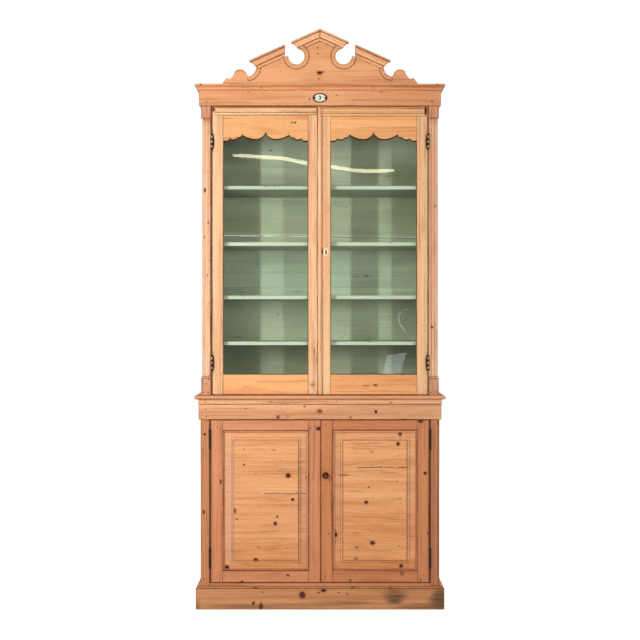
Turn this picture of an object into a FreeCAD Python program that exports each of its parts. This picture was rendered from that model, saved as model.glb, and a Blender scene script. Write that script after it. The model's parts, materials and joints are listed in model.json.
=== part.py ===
import FreeCAD, Part
import Sketcher
import math
import os

# A tall two-stage bookcase: panelled cupboard below, glazed case above, broken pediment on top.
# +Z is up, the front faces -Y, X runs to the viewer's right.
# The origin lies on the floor under the middle of the whole object. Lengths are millimetres.

doc = FreeCAD.newDocument("bookcase")
sheet = doc.addObject("Spreadsheet::Sheet", "Dims")
nodes = []


# Sizes and the formulas that tie them to the sheet


class Size:
    """A length that carries its value and the sheet formula behind it."""

    def __init__(self, value, formula):
        self.value = value
        self.formula = formula

    def __add__(self, other):
        other = size_of(other)
        return Size(self.value + other.value, f"({self.formula} + {other.formula})")

    __radd__ = __add__

    def __sub__(self, other):
        other = size_of(other)
        return Size(self.value - other.value, f"({self.formula} - {other.formula})")

    def __rsub__(self, other):
        return size_of(other) - self

    def __mul__(self, other):
        other = size_of(other)
        return Size(self.value * other.value, f"({self.formula} * {other.formula})")

    __rmul__ = __mul__

    def __truediv__(self, other):
        other = size_of(other)
        return Size(self.value / other.value, f"({self.formula} / {other.formula})")

    def __rtruediv__(self, other):
        return size_of(other) / self

    def __neg__(self):
        return Size(-self.value, f"(-{self.formula})")


def size_of(value):
    """A plain number as a Size, or the Size itself."""
    return value if isinstance(value, Size) else Size(float(value), repr(float(value)))


def cosine(angle):
    return Size(math.cos(math.radians(angle.value)), f"cos({angle.formula})")


def sine(angle):
    return Size(math.sin(math.radians(angle.value)), f"sin({angle.formula})")


def root(square):
    return Size(math.sqrt(square.value), f"sqrt({square.formula})")


def sagitta(chord, radius):
    """How far an arc of this radius rises over its chord."""
    half = chord / 2
    return radius - root(radius * radius - half * half)


def tangent_radius(across, rise):
    """Radius of an arc that starts level and ends this far across and up."""
    return (across * across + rise * rise) / (2 * rise)


def chord_between(first, second):
    """Straight distance between two points of an outline."""
    across = first[0] - second[0]
    along = first[1] - second[1]
    return root(across * across + along * along)


def dim(alias, value, note):
    """Writes one driving dimension into the next row of the sheet."""
    row = dim.rows = dim.rows + 1
    sheet.set(f"A{row}", note)
    sheet.set(f"B{row}", str(value))
    sheet.setAlias(f"B{row}", alias)
    return Size(float(value), f"Dims.{alias}")


dim.rows = 0

# Overall sizes of the two stages
base_width = dim("base_width", 1002, "width over the base sides")
base_depth = dim("base_depth", 370, "base depth from the back boards to the stile faces")
base_height = dim("base_height", 879, "floor to the underside of the waist top")
case_width = dim("case_width", 990, "width over the sides of the upper case")
case_depth = dim("case_depth", 364, "upper case depth from the back boards to the pilaster faces")
case_height = dim("case_height", 1279, "waist top to the underside of the cornice")

# Boards
side_thickness = dim("side_thickness", 20, "thickness of the sides")
board_thickness = dim("board_thickness", 20, "thickness of the floors and the case top")
frame_thickness = dim("frame_thickness", 22, "thickness of stiles, rails and doors")
back_thickness = dim("back_thickness", 12, "thickness of the back boards")
back_board_share = dim("back_board_share", 0.1806, "one case back board as a share of the case height")
shelf_thickness = dim("shelf_thickness", 16, "thickness of the shelves")
shelf_setback = dim("shelf_setback", 20, "shelf edge behind the backs of the doors")
cleat_size = dim("cleat_size", 18, "square section of the shelf cleats")
first_shelf = dim("first_shelf", 209, "underside of the lowest upper shelf above the waist top")
second_shelf = dim("second_shelf", 404, "underside of the second upper shelf")
third_shelf = dim("third_shelf", 630, "underside of the third upper shelf")
fourth_shelf = dim("fourth_shelf", 869, "underside of the highest upper shelf")
cupboard_shelf = dim("cupboard_shelf", 452, "underside of the cupboard shelf above the floor")

# Plinth, waist and cornice
plinth_height = dim("plinth_height", 95, "height of the plinth boards")
plinth_proud = dim("plinth_proud", 19, "thickness of the plinth boards")
plinth_chamfer = dim("plinth_chamfer", 6, "chamfer on the top edge of the plinth")
floor_rise = dim("floor_rise", 12, "top of the cupboard floor above the plinth")
fascia_height = dim("fascia_height", 64, "height of the waist fascia")
fascia_proud = dim("fascia_proud", 8, "thickness of the waist fascia")
strip_height = dim("strip_height", 21, "height of the strip above the fascia")
strip_proud = dim("strip_proud", 9.5, "thickness of that strip")
strip_chamfer = dim("strip_chamfer", 1.5, "chamfer on the lower edge of that strip")
waist_top_thickness = dim("waist_top_thickness", 16, "thickness of the waist top")
nosing_reach = dim("nosing_reach", 24, "overhang of the waist top past the base")
frieze_height = dim("frieze_height", 64, "height of the frieze")
frieze_proud = dim("frieze_proud", 12, "thickness of the frieze boards")
cornice_height = dim("cornice_height", 24, "height of the cornice")
cornice_flare = dim("cornice_flare", 16, "overhang of the cornice past the frieze")
cornice_fillet = dim("cornice_fillet", 10, "height of the flat band on the cornice")
cornice_quirk = dim("cornice_quirk", 3, "step between the cove and the flat bands")

# Stiles and pilasters
stile_width = dim("stile_width", 37, "width of the base stiles")
stile_groove = dim("stile_groove", 2.4, "width of the grooves in the base stiles")
pilaster_width = dim("pilaster_width", 38, "width of the pilasters")
base_block_height = dim("base_block_height", 71, "height of the pilaster base blocks")
capital_height = dim("capital_height", 51, "height of the pilaster capitals")
block_proud = dim("block_proud", 4, "how far the blocks stand past the shafts")
block_collar = dim("block_collar", 8, "height of the collar between block and shaft")
collar_proud = dim("collar_proud", 2, "how far the collar stands past the shaft")

# Pediment: heights are measured from the cornice top, distances across from the middle
pediment_height = dim("pediment_height", 233, "cornice top to the apex")
pediment_thickness = dim("pediment_thickness", 20, "thickness of the pediment board")
pediment_pitch = dim("pediment_pitch", 24, "slope of the pediment in degrees")
pediment_half = dim("pediment_half", 416, "half the length of the pediment foot")
rake_depth = dim("rake_depth", 31, "depth of the raking moulding across its slope")
rake_reach = dim("rake_reach", 16.5, "projection of the raking moulding")
rake_fillet = dim("rake_fillet", 8, "flat band along the top of the raking moulding")
rake_step = dim("rake_step", 4, "step above and below the cove of the raking moulding")
rake_bead_depth = dim("rake_bead_depth", 12, "depth of the bead under the moulding")
rake_bead_reach = dim("rake_bead_reach", 5, "projection of that bead")
gable_length = dim("gable_length", 116.7, "apex to the gable's end, along the slope")
gable_bead_across = dim("gable_bead_across", 62, "end of the gable bead")
rake_start = dim("rake_start", 147.8, "upper end of the raking moulding")
rake_length = dim("rake_length", 308.5, "apex to the lower end of the rake, along the slope")
rake_bead_across = dim("rake_bead_across", 262, "lower end of the rake bead")
scroll_across = dim("scroll_across", 99.1, "centre of the round cut")
scroll_drop = dim("scroll_drop", 111.7, "centre of the round cut below the apex")
scroll_radius = dim("scroll_radius", 34.4, "radius of the round cut")
scroll_ring = dim("scroll_ring", 19, "border around the round cut")
foot_across = dim("foot_across", 303.7, "lowest point of the hollow under the rake's end")
foot_rise = dim("foot_rise", 36.5, "that point above the cornice")
foot_ring = dim("foot_ring", 17, "border around that hollow")
line_width = dim("line_width", 2.4, "width of the incised lines")
line_depth = dim("line_depth", 2, "depth of the incised lines")
dome_across = dim("dome_across", 332.3, "middle of the small dome")
dome_half = dim("dome_half", 24.8, "half the chord of the small dome")
dome_inner_rise = dim("dome_inner_rise", 44, "inner spring of the dome above the cornice")
dome_outer_rise = dim("dome_outer_rise", 58, "outer spring of the dome above the cornice")
valley_across = dim("valley_across", 380, "valley outside the dome")
valley_rise = dim("valley_rise", 25, "valley above the cornice")
valley_radius = dim("valley_radius", 60, "radius of the hollow down to the valley")
ear_across = dim("ear_across", 392, "small point outside the valley")
ear_rise = dim("ear_rise", 31, "small point above the cornice")
batten_width = dim("batten_width", 45, "width of the battens behind the pediment")
batten_thickness = dim("batten_thickness", 22, "thickness of those battens")
batten_height = dim("batten_height", 150, "height of those battens above the case top")
batten_across = dim("batten_across", 180, "inner edge of a batten from the middle")

# Doors
hinge_gap = dim("hinge_gap", 5, "gap between a door and its post")
meeting_gap = dim("meeting_gap", 2, "gap between two doors")
head_gap = dim("head_gap", 3, "gap above a door")
foot_gap = dim("foot_gap", 3, "gap under a door")
meeting_offset = dim("meeting_offset", 10, "meeting line of the upper doors left of the middle")
lower_meeting_offset = dim("lower_meeting_offset", 2.5, "meeting line of the lower doors right of it")
glazed_stile = dim("glazed_stile", 45, "hinge stile of a glazed door")
left_meeting_stile = dim("left_meeting_stile", 39, "meeting stile of the left glazed door")
right_meeting_stile = dim("right_meeting_stile", 53, "meeting stile of the right glazed door")
glazed_foot_rail = dim("glazed_foot_rail", 84, "bottom rail of a glazed door")
glazed_head_rail = dim("glazed_head_rail", 142, "scalloped rail at its ends")
panelled_stile = dim("panelled_stile", 50, "stiles of a panelled door")
panelled_head_rail = dim("panelled_head_rail", 45, "top rail of a panelled door")
panelled_foot_rail = dim("panelled_foot_rail", 48, "bottom rail of a panelled door")
tenon_length = dim("tenon_length", 28, "length of the rail tenons")
tenon_thickness = dim("tenon_thickness", 7, "thickness of tenons, grooves and panel edges")
tenon_shoulder = dim("tenon_shoulder", 12, "wood above and below a tenon")
groove_setback = dim("groove_setback", 8, "wood in front of tenons and panel grooves")
groove_depth = dim("groove_depth", 9, "depth of the panel groove and the glass rebate")
door_stop_gap = dim("door_stop_gap", 1, "case floor behind the backs of the doors")
fit = dim("fit", 0.3, "play between fitted pieces")
running_play = dim("running_play", 0.08, "radial play of pieces that turn or slide")

# Scalloped edge: drawn outwards from the central cusp, rises above the rail's end
scallop_span = dim("scallop_span", 178.5, "half width that the scallop is drawn for")
cusp_rise = dim("cusp_rise", 36, "central cusp")
lobe_across = dim("lobe_across", 41, "cusp to the lowest point of the large lobe")
lobe_rise = dim("lobe_rise", 7, "lowest point of the large lobe")
notch_width = dim("notch_width", 58, "that point to the notch")
notch_rise = dim("notch_rise", 26, "notch beside the large lobe")
step_offset = dim("step_offset", 8, "notch to the small step")
step_width = dim("step_width", 10, "width of the small step")
step_rise = dim("step_rise", 14.5, "height of the small step")
tooth_offset = dim("tooth_offset", 5, "step to the small lobe")
tooth_width = dim("tooth_width", 28, "width of the small lobe")
tooth_rise = dim("tooth_rise", 10.5, "spring of the small lobe")
tooth_radius = dim("tooth_radius", 22, "radius of the small lobe")
flat_offset = dim("flat_offset", 9, "small lobe to the flat end")

# Glass, mouldings and panels on the doors
front_lip = dim("front_lip", 10, "wood in front of the glass")
glass_thickness = dim("glass_thickness", 3, "thickness of the panes")
glazing_bead = dim("glazing_bead", 9, "width of the strips behind the glass")
cap_height = dim("cap_height", 33, "height of the cap moulding")
left_cap_drop = dim("left_cap_drop", 2, "cap moulding below the left door's top")
right_cap_drop = dim("right_cap_drop", 6, "cap moulding below the right door's top")
cap_inset = dim("cap_inset", 12, "cap moulding inside the hinge edge")
left_cap_inset = dim("left_cap_inset", 4.5, "cap moulding inside the left door's free edge")
right_cap_inset = dim("right_cap_inset", 10, "cap moulding inside the right door's free edge")
cap_strip_height = dim("cap_strip_height", 10, "lower strip of the cap moulding")
cap_strip_reach = dim("cap_strip_reach", 4, "projection of the lower strip")
cap_quirk = dim("cap_quirk", 2, "quirk between strip and round")
meeting_bead_width = dim("meeting_bead_width", 18, "width of the bead on the right door")
panel_moulding = dim("panel_moulding", 8, "width of the strips around a panel")
panel_moulding_drop = dim("panel_moulding_drop", 1.5, "strips behind the door's face")
panel_border = dim("panel_border", 34, "bevelled border of a panel")
panel_field_drop = dim("panel_field_drop", 4, "raised field behind the door's face")
panel_field_step = dim("panel_field_step", 1.5, "step up to the raised field")

# Hinges: the pin stands in front of the gap
barrel_radius = dim("barrel_radius", 4, "radius of the hinge knuckles")
barrel_clear = dim("barrel_clear", 0.5, "knuckles in front of the wood")
pin_radius = dim("pin_radius", 1.6, "radius of the hinge pins")
pin_head_radius = dim("pin_head_radius", 3.2, "radius of the pin's end buttons")
pin_head_height = dim("pin_head_height", 3, "height of the pin's end buttons")
leaf_thickness = dim("leaf_thickness", 1.8, "thickness of the hinge leaves")
leaf_depth = dim("leaf_depth", 17, "leaf depth behind the face")
upper_hinge_height = dim("upper_hinge_height", 61, "height of the upper hinges")
lower_hinge_height = dim("lower_hinge_height", 82, "height of the lower hinges")
upper_hinge_foot = dim("upper_hinge_foot", 133, "upper door's bottom to its lower hinge")
upper_hinge_head = dim("upper_hinge_head", 147, "upper door's top to its upper hinge")
lower_hinge_foot = dim("lower_hinge_foot", 101, "lower door's bottom to its lower hinge")
lower_hinge_head = dim("lower_hinge_head", 80, "lower door's top to its upper hinge")
screw_radius = dim("screw_radius", 1.6, "radius of the screw shanks")
screw_head_radius = dim("screw_head_radius", 3, "radius of the screw heads")
screw_length = dim("screw_length", 14, "length of the screw shanks in the wood")
screw_spread = dim("screw_spread", 0.34, "screw spacing as a share of the hinge height")

# Lock, knob, catch and bolts
lock_height = dim("lock_height", 602, "keyhole above the waist top")
lock_across = dim("lock_across", 34, "keyhole from the right door's meeting edge")
keyhole_radius = dim("keyhole_radius", 3, "radius of the keyhole")
keyhole_drop = dim("keyhole_drop", 8, "slot below the keyhole")
plate_half_width = dim("plate_half_width", 9, "half width of the keyhole plate")
plate_half_height = dim("plate_half_height", 16, "half height of the keyhole plate")
plate_thickness = dim("plate_thickness", 1.2, "thickness of the keyhole plate")
lock_width = dim("lock_width", 40, "width of the lock case")
lock_tall = dim("lock_tall", 56, "height of the lock case")
lock_depth = dim("lock_depth", 11, "depth of the lock case")
lock_inset = dim("lock_inset", 3, "lock case from the right door's meeting edge")
bolt_thickness = dim("bolt_thickness", 5, "thickness of the lock bolt")
bolt_gap = dim("bolt_gap", 2, "lock bolt behind the backs of the doors")
bolt_tall = dim("bolt_tall", 12, "height of the lock bolt")
bolt_length = dim("bolt_length", 28, "length of the lock bolt")
knob_height = dim("knob_height", 561, "knob above the floor")
knob_across = dim("knob_across", 20, "knob from the right door's meeting edge")
knob_radius = dim("knob_radius", 14, "radius of the knob")
knob_reach = dim("knob_reach", 34, "knob in front of the door's face")
knob_collar = dim("knob_collar", 9, "radius of the knob's collar")
knob_neck = dim("knob_neck", 6, "radius of the knob's neck")
spindle_radius = dim("spindle_radius", 3.5, "radius of the spindle")
catch_length = dim("catch_length", 34, "catch from the spindle to its tip")
catch_width = dim("catch_width", 14, "width of the catch")
catch_thickness = dim("catch_thickness", 5, "thickness of the catch")
catch_gap = dim("catch_gap", 1, "catch behind the backs of the doors")
rod_radius = dim("rod_radius", 3.5, "radius of the sliding bolts")
rod_length = dim("rod_length", 104, "length of the sliding bolts")
rod_drop = dim("rod_drop", 5, "bolt's end below the door's top")
rod_inset = dim("rod_inset", 16, "bolt from the door's meeting edge")
rod_knob_radius = dim("rod_knob_radius", 4.5, "radius of the bolt's thumb knob")
rod_knob_length = dim("rod_knob_length", 9, "length of the bolt's thumb knob")
staple_height = dim("staple_height", 12, "height of the staples")
staple_wall = dim("staple_wall", 2.5, "wall of the staples around the bolt")
bolt_plate_width = dim("bolt_plate_width", 22, "width of the bolt plates")
bolt_plate_thickness = dim("bolt_plate_thickness", 1.5, "thickness of the bolt plates")
bolt_plate_height = dim("bolt_plate_height", 80, "height of the bolt plates")
bolt_plate_drop = dim("bolt_plate_drop", 18, "bolt plate below the door's top")

# Number plate on the frieze
oval_half_width = dim("oval_half_width", 31, "half width of the number plate")
oval_half_height = dim("oval_half_height", 20, "half height of the number plate")
oval_end_radius = dim("oval_end_radius", 14.5, "radius of the number plate's ends")
oval_thickness = dim("oval_thickness", 2, "thickness of the number plate")
pin_across = dim("pin_across", 22, "plate pins from the middle")
nail_radius = dim("nail_radius", 1.2, "radius of the plate pins")
nail_head_radius = dim("nail_head_radius", 2.4, "radius of the pins' heads")
nail_head_height = dim("nail_head_height", 1.4, "height of the pins' heads")
nail_length = dim("nail_length", 9, "length of the pins in the wood")

joint_gap = dim("joint_gap", 0.3, "open line at mitres and between boards")
trim = dim("trim", 6, "spare length that the mitre cuts take off")

# Planes that many pieces share
overall_depth = base_depth + knob_reach
back_y = overall_depth / 2
base_front = back_y - base_depth
case_front = back_y - case_depth
board_back = back_y - back_thickness
base_half = base_width / 2
case_half = case_width / 2
waist_level = base_height + waist_top_thickness
cornice_level = waist_level + case_height
frieze_level = cornice_level - frieze_height
pediment_level = cornice_level + cornice_height
fascia_level = base_height - strip_height - fascia_height
floor_level = plinth_height + floor_rise
base_frame_back = base_front + frame_thickness
case_frame_back = case_front + frame_thickness
apex_level = pediment_level + pediment_height
rake_cos = cosine(pediment_pitch)
rake_sin = sine(pediment_pitch)
rake_slope = rake_sin / rake_cos

# Builders for boards, rods, outlines and booleans

# Radius of a rounded edge as a share of its chord
ROUND = 0.55
LEFT = 1
RIGHT = -1
AXES = ("x", "y", "z")
TURNS = {
    "x": FreeCAD.Rotation(FreeCAD.Vector(0, 1, 0), 90),
    "y": FreeCAD.Rotation(FreeCAD.Vector(1, 0, 0), -90),
    "z": FreeCAD.Rotation(),
}
PLANES = {"XY": ("XY_Plane", "z"), "XZ": ("XZ_Plane", "y"), "YZ": ("YZ_Plane", "x")}


def place(part, at):
    """Ties an object's position to the sheet."""
    for axis, value in zip(AXES, at):
        part.setExpression(f"Placement.Base.{axis}", size_of(value).formula)


def board(name, x, y, z):
    """A rectangular piece between its low and high faces along each axis."""
    part = doc.addObject("Part::Box", name)
    for side, (low, high) in zip(("Length", "Width", "Height"), (x, y, z)):
        part.setExpression(side, (size_of(high) - low).formula)
    place(part, (x[0], y[0], z[0]))
    return part


def rod(name, at, along, radius, length):
    """A round bar from a point along an axis."""
    part = doc.addObject("Part::Cylinder", name)
    part.Placement = FreeCAD.Placement(FreeCAD.Vector(), TURNS[along])
    part.setExpression("Radius", size_of(radius).formula)
    part.setExpression("Height", size_of(length).formula)
    place(part, at)
    return part


def taper(name, at, along, low_radius, high_radius, length):
    """A round taper from a point along an axis."""
    part = doc.addObject("Part::Cone", name)
    part.Placement = FreeCAD.Placement(FreeCAD.Vector(), TURNS[along])
    part.setExpression("Radius1", size_of(low_radius).formula)
    part.setExpression("Radius2", size_of(high_radius).formula)
    part.setExpression("Height", size_of(length).formula)
    place(part, at)
    return part


def cut(name, base, *tools):
    """The base with each tool taken away in turn."""
    for index, tool in enumerate(tools):
        last = index == len(tools) - 1
        result = doc.addObject("Part::Cut", name if last else f"{name}_cut_{index}")
        result.Base = base
        result.Tool = tool
        base = result
    return base


def fuse(name, *pieces):
    result = doc.addObject("Part::MultiFuse", name)
    result.Shapes = list(pieces)
    result.Refine = True
    return result


def common(name, first, second):
    result = doc.addObject("Part::Common", name)
    result.Base = first
    result.Tool = second
    return result


def mirrored(name, source):
    """The right-hand twin of a left-hand piece."""
    result = doc.addObject("Part::Mirroring", name)
    result.Source = source
    result.Normal = FreeCAD.Vector(1, 0, 0)
    result.Base = FreeCAD.Vector()
    return result


def group(name, *pieces):
    result = doc.addObject("Part::Compound", name)
    result.Links = list(pieces)
    return result


def node(label, *pieces):
    """Names a finished sub-part: one piece, or a group of separate pieces."""
    part = pieces[0] if len(pieces) == 1 else group(label, *pieces)
    part.Label = label
    nodes.append(part)
    return part


def pair(label, *pieces):
    """A sub-part of left-hand pieces and their right-hand twins."""
    twins = [mirrored(f"{label}_twin_{index}", piece) for index, piece in enumerate(pieces)]
    return node(label, *pieces, *twins)


def origin_plane(body, role):
    return [feature for feature in body.Origin.OriginFeatures if feature.Role == role][0]


def edge_between(start, end):
    """A straight edge, or an arc where the starting corner names a radius and a turn."""
    first = FreeCAD.Vector(start[0].value, start[1].value, 0)
    last = FreeCAD.Vector(end[0].value, end[1].value, 0)
    if len(start) == 2:
        return Part.LineSegment(first, last)
    radius, turn = start[2].value, start[3]
    chord = last - first
    inward = FreeCAD.Vector(-chord.y, chord.x, 0).normalize() * turn
    centre = (first + last) * 0.5 + inward * math.sqrt(radius**2 - chord.Length**2 / 4)
    angles = [math.atan2(p.y - centre.y, p.x - centre.x) for p in (first, last)]
    return Part.ArcOfCircle(Part.Circle(centre, FreeCAD.Vector(0, 0, 1), radius), *angles[::turn])


def outline(body, name, role, corners):
    """A closed sketch on an origin plane, with every corner and radius tied to the sheet.

    A corner is (u, v), or (u, v, radius, turn) where an arc leads to the next corner.
    """
    corners = [tuple(size_of(value) for value in c[:3]) + tuple(c[3:]) for c in corners]
    sketch = body.newObject("Sketcher::SketchObject", name)
    sketch.AttachmentSupport = (origin_plane(body, role), [""])
    sketch.MapMode = "FlatFace"
    ends = []
    for index, corner in enumerate(corners):
        sketch.addGeometry(edge_between(corner, corners[(index + 1) % len(corners)]))
        backwards = len(corner) == 4 and corner[3] == RIGHT
        ends.append((2, 1) if backwards else (1, 2))
    for index, (start, end) in enumerate(ends):
        following = (index + 1) % len(ends)
        sketch.addConstraint(Sketcher.Constraint("Coincident", index, end, following, ends[following][0]))
    for index, corner in enumerate(corners):
        start = ends[index][0]
        tie(sketch, f"across_{index}", corner[0], "DistanceX", -1, 1, index, start)
        tie(sketch, f"along_{index}", corner[1], "DistanceY", -1, 1, index, start)
        if len(corner) == 4:
            tie(sketch, f"radius_{index}", corner[2], "Radius", index)
    return sketch


def tie(sketch, name, value, kind, *where):
    """Adds one dimension to a sketch and binds it to its formula."""
    index = sketch.addConstraint(Sketcher.Constraint(kind, *where, value.value))
    sketch.renameConstraint(index, name)
    sketch.setExpression(f"Constraints.{name}", value.formula)


def prism(name, plane, corners, start, end):
    """A body that pads an outline from one plane to another along the plane's normal."""
    role, axis = PLANES[plane]
    body = doc.addObject("PartDesign::Body", name)
    pad = body.newObject("PartDesign::Pad", f"{name}_pad")
    pad.Profile = outline(body, f"{name}_sketch", role, corners)
    pad.Reversed = plane == "XZ"
    pad.setExpression("Length", (size_of(end) - start).formula)
    body.Tip = pad
    body.setExpression(f"Placement.Base.{axis}", size_of(start).formula)
    return body


def rectangle(low_u, high_u, low_v, high_v):
    return [(low_u, low_v), (high_u, low_v), (high_u, high_v), (low_u, high_v)]


def mitred_run(name, profile, corner, face, end, level, outer, inner):
    """A moulding along the front and both sides, mitred at the front corners.

    The profile is given as (outward, up) from the face line at the given level.
    """

    def facing(origin):
        return [(origin - c[0], level + c[1]) + ((c[2], -c[3]) if len(c) == 4 else ()) for c in profile]

    top = level + max((size_of(c[1]) for c in profile), key=lambda size: size.value)
    reach = outer + trim
    seat = inner + trim
    front_plan = [
        (-(corner + reach), face - reach),
        (corner + reach, face - reach),
        (corner - seat, face + seat),
        (-(corner - seat), face + seat),
    ]
    side_plan = [
        (-(corner + reach), face - reach + joint_gap),
        (-(corner - seat), face + seat + joint_gap),
        (-(corner - seat), end),
        (-(corner + reach), end),
    ]
    front_bar = prism(f"{name}_front_bar", "YZ", facing(face), -(corner + reach), corner + reach)
    side_bar = prism(f"{name}_side_bar", "XZ", facing(-corner), face - reach, end)
    front_cut = prism(f"{name}_front_plan", "XY", front_plan, level, top)
    side_cut = prism(f"{name}_side_plan", "XY", side_plan, level, top)
    front = common(f"{name}_front", front_bar, front_cut)
    left = common(f"{name}_left", side_bar, side_cut)
    return front, left, mirrored(f"{name}_right", left)


# Base carcase

SIDE_DEPTH = (base_frame_back, board_back)
base_side = board("base_side", (-base_half, side_thickness - base_half), SIDE_DEPTH, (0, base_height))
pair("base_sides", base_side)

groove_places = (stile_width / 3, stile_width * 2 / 3)
stile_front = [(-base_half, base_front)]
for place_across in groove_places:
    middle = place_across - base_half
    stile_front.append((middle - stile_groove / 2, base_front))
    stile_front.append((middle, base_front + stile_groove / 2))
    stile_front.append((middle + stile_groove / 2, base_front))
stile_front.append((stile_width - base_half, base_front))
stile_plan = stile_front + [(stile_width - base_half, base_frame_back), (-base_half, base_frame_back)]
stile_blank = prism("base_stile_blank", "XY", stile_plan, 0, fascia_level)

floor_inner = base_half - side_thickness
floor_neck = base_half - stile_width
floor_plan = [
    (-floor_neck, base_front),
    (floor_neck, base_front),
    (floor_neck, base_frame_back),
    (floor_inner, base_frame_back),
    (floor_inner, board_back),
    (-floor_inner, board_back),
    (-floor_inner, base_frame_back),
    (-floor_neck, base_frame_back),
]
node("base_floor", prism("base_floor", "XY", floor_plan, floor_level - board_thickness, floor_level))


def back_boards(label, half, bottom, top, count, height):
    """Horizontal boards behind the case, the last one cut to what is left."""
    boards = []
    for index in range(count):
        low = bottom + index * height
        high = top if index == count - 1 else low + height - joint_gap
        boards.append(board(f"{label}_{index + 1}", (-half, half), (board_back, back_y), (low, high)))
    node(label, *boards)


BASE_BACK_COUNT = 4
base_back_low = floor_level - board_thickness
back_boards(
    "base_back",
    base_half,
    base_back_low,
    base_height,
    BASE_BACK_COUNT,
    (base_height - base_back_low) / BASE_BACK_COUNT,
)

plinth_profile = [
    (0, 0),
    (plinth_proud, 0),
    (plinth_proud, plinth_height - plinth_chamfer),
    (plinth_proud - plinth_chamfer, plinth_height),
    (0, plinth_height),
]
node(
    "plinth_boards",
    *mitred_run("plinth_run", plinth_profile, base_half, base_front, back_y, size_of(0), plinth_proud, 0),
)

# Waist between the two stages

fascia_profile = rectangle(0, fascia_proud, 0, fascia_height)
strip_profile = [
    (0, 0),
    (strip_proud - strip_chamfer, 0),
    (strip_proud, strip_chamfer),
    (strip_proud, strip_height),
    (0, strip_height),
]
waist_rail = board(
    "waist_rail", (-base_half, base_half), (base_front, base_frame_back), (fascia_level, base_height)
)
fascia_run = mitred_run(
    "fascia_run", fascia_profile, base_half, base_front, back_y, fascia_level, fascia_proud, 0
)
strip_run = mitred_run(
    "strip_run",
    strip_profile,
    base_half,
    base_front,
    back_y,
    fascia_level + fascia_height,
    strip_proud,
    0,
)
node("waist_fascia", waist_rail, *fascia_run, *strip_run)

nose_radius = waist_top_thickness * ROUND
nose_depth = sagitta(waist_top_thickness, nose_radius)
nose_front = base_front - nosing_reach + nose_depth
nose_side = base_half + nosing_reach - nose_depth
front_nosed = prism(
    "waist_top_front",
    "YZ",
    [
        (back_y, base_height),
        (back_y, waist_level),
        (nose_front, waist_level, nose_radius, LEFT),
        (nose_front, base_height),
    ],
    -(base_half + nosing_reach),
    base_half + nosing_reach,
)
side_nosed = prism(
    "waist_top_sides",
    "XZ",
    [
        (-nose_side, base_height),
        (nose_side, base_height, nose_radius, LEFT),
        (nose_side, waist_level),
        (-nose_side, waist_level, nose_radius, LEFT),
    ],
    base_front - nosing_reach,
    back_y,
)
node("waist_top", common("waist_top", front_nosed, side_nosed))

# Upper case

case_inner = case_half - side_thickness
case_side = board(
    "case_side", (-case_half, -case_inner), (case_frame_back, board_back), (waist_level, cornice_level)
)
pair("case_sides", case_side)
node(
    "case_floor",
    board(
        "case_floor",
        (-case_inner, case_inner),
        (case_frame_back + door_stop_gap, board_back),
        (waist_level, waist_level + board_thickness),
    ),
)
node(
    "case_top",
    board(
        "case_top",
        (-case_inner, case_inner),
        (case_frame_back, board_back),
        (cornice_level - board_thickness, cornice_level),
    ),
)
CASE_BACK_COUNT = 6
back_boards(
    "case_back",
    case_half,
    waist_level,
    cornice_level,
    CASE_BACK_COUNT,
    case_height * back_board_share,
)

# Shelves and their cleats

shelf_boards = []
cleats = []


def shelf(name, inner, front, level):
    """A shelf on two cleats, the left cleat kept for twinning."""
    shelf_boards.append(
        board(name, (-inner, inner), (front, board_back), (level, level + shelf_thickness))
    )
    cleats.append(
        board(
            f"{name}_cleat",
            (-inner, cleat_size - inner),
            (front + cleat_size, board_back),
            (level - cleat_size, level),
        )
    )


case_shelf_front = case_frame_back + shelf_setback
base_shelf_front = base_frame_back + shelf_setback
for index, level in enumerate((first_shelf, second_shelf, third_shelf, fourth_shelf)):
    shelf(f"case_shelf_{index + 1}", case_inner, case_shelf_front, waist_level + level)
shelf("base_shelf", floor_inner, base_shelf_front, cupboard_shelf)
node("shelves", *shelf_boards)
pair("shelf_cleats", *cleats)

# Frieze and cornice

frieze_profile = rectangle(0, frieze_proud, 0, frieze_height)
head_rail = board(
    "head_rail", (-case_half, case_half), (case_front, case_frame_back), (frieze_level, cornice_level)
)
frieze_front, frieze_left, frieze_right = mitred_run(
    "frieze_run", frieze_profile, case_half, case_front, back_y, frieze_level, frieze_proud, 0
)

cornice_seat = frieze_proud + pediment_thickness
cove_height = cornice_height - cornice_fillet
cornice_profile = [
    (-cornice_seat, 0),
    (cornice_quirk, 0, tangent_radius(cornice_flare - 2 * cornice_quirk, cove_height), RIGHT),
    (cornice_flare - cornice_quirk, cove_height),
    (cornice_flare, cove_height),
    (cornice_flare, cornice_height),
    (-cornice_seat, cornice_height),
]
node(
    "cornice",
    *mitred_run(
        "cornice_run",
        cornice_profile,
        case_half + frieze_proud,
        case_front - frieze_proud,
        back_y,
        cornice_level,
        cornice_flare,
        cornice_seat,
    ),
)

# Hinges, made for the left-hand side


def screw_row(name, wood_x, inward, depth_y, levels, play):
    """Countersunk screws through a leaf into the wood, or their holes when play is added."""
    low_x = wood_x - screw_length - play if inward == RIGHT else wood_x
    head_x = wood_x if inward == RIGHT else wood_x - leaf_thickness
    radii = (screw_radius + play, screw_head_radius + play)
    screws = []
    for index, level in enumerate(levels):
        shank = rod(
            f"{name}_shank_{index}", (low_x, depth_y, level), "x", screw_radius + play, screw_length + play
        )
        at = (head_x, depth_y, level)
        head = taper(f"{name}_head_{index}", at, "x", *radii[::-inward], leaf_thickness)
        screws.append(fuse(f"{name}_{index}", shank, head))
    return group(f"{name}_row", *screws)


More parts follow.
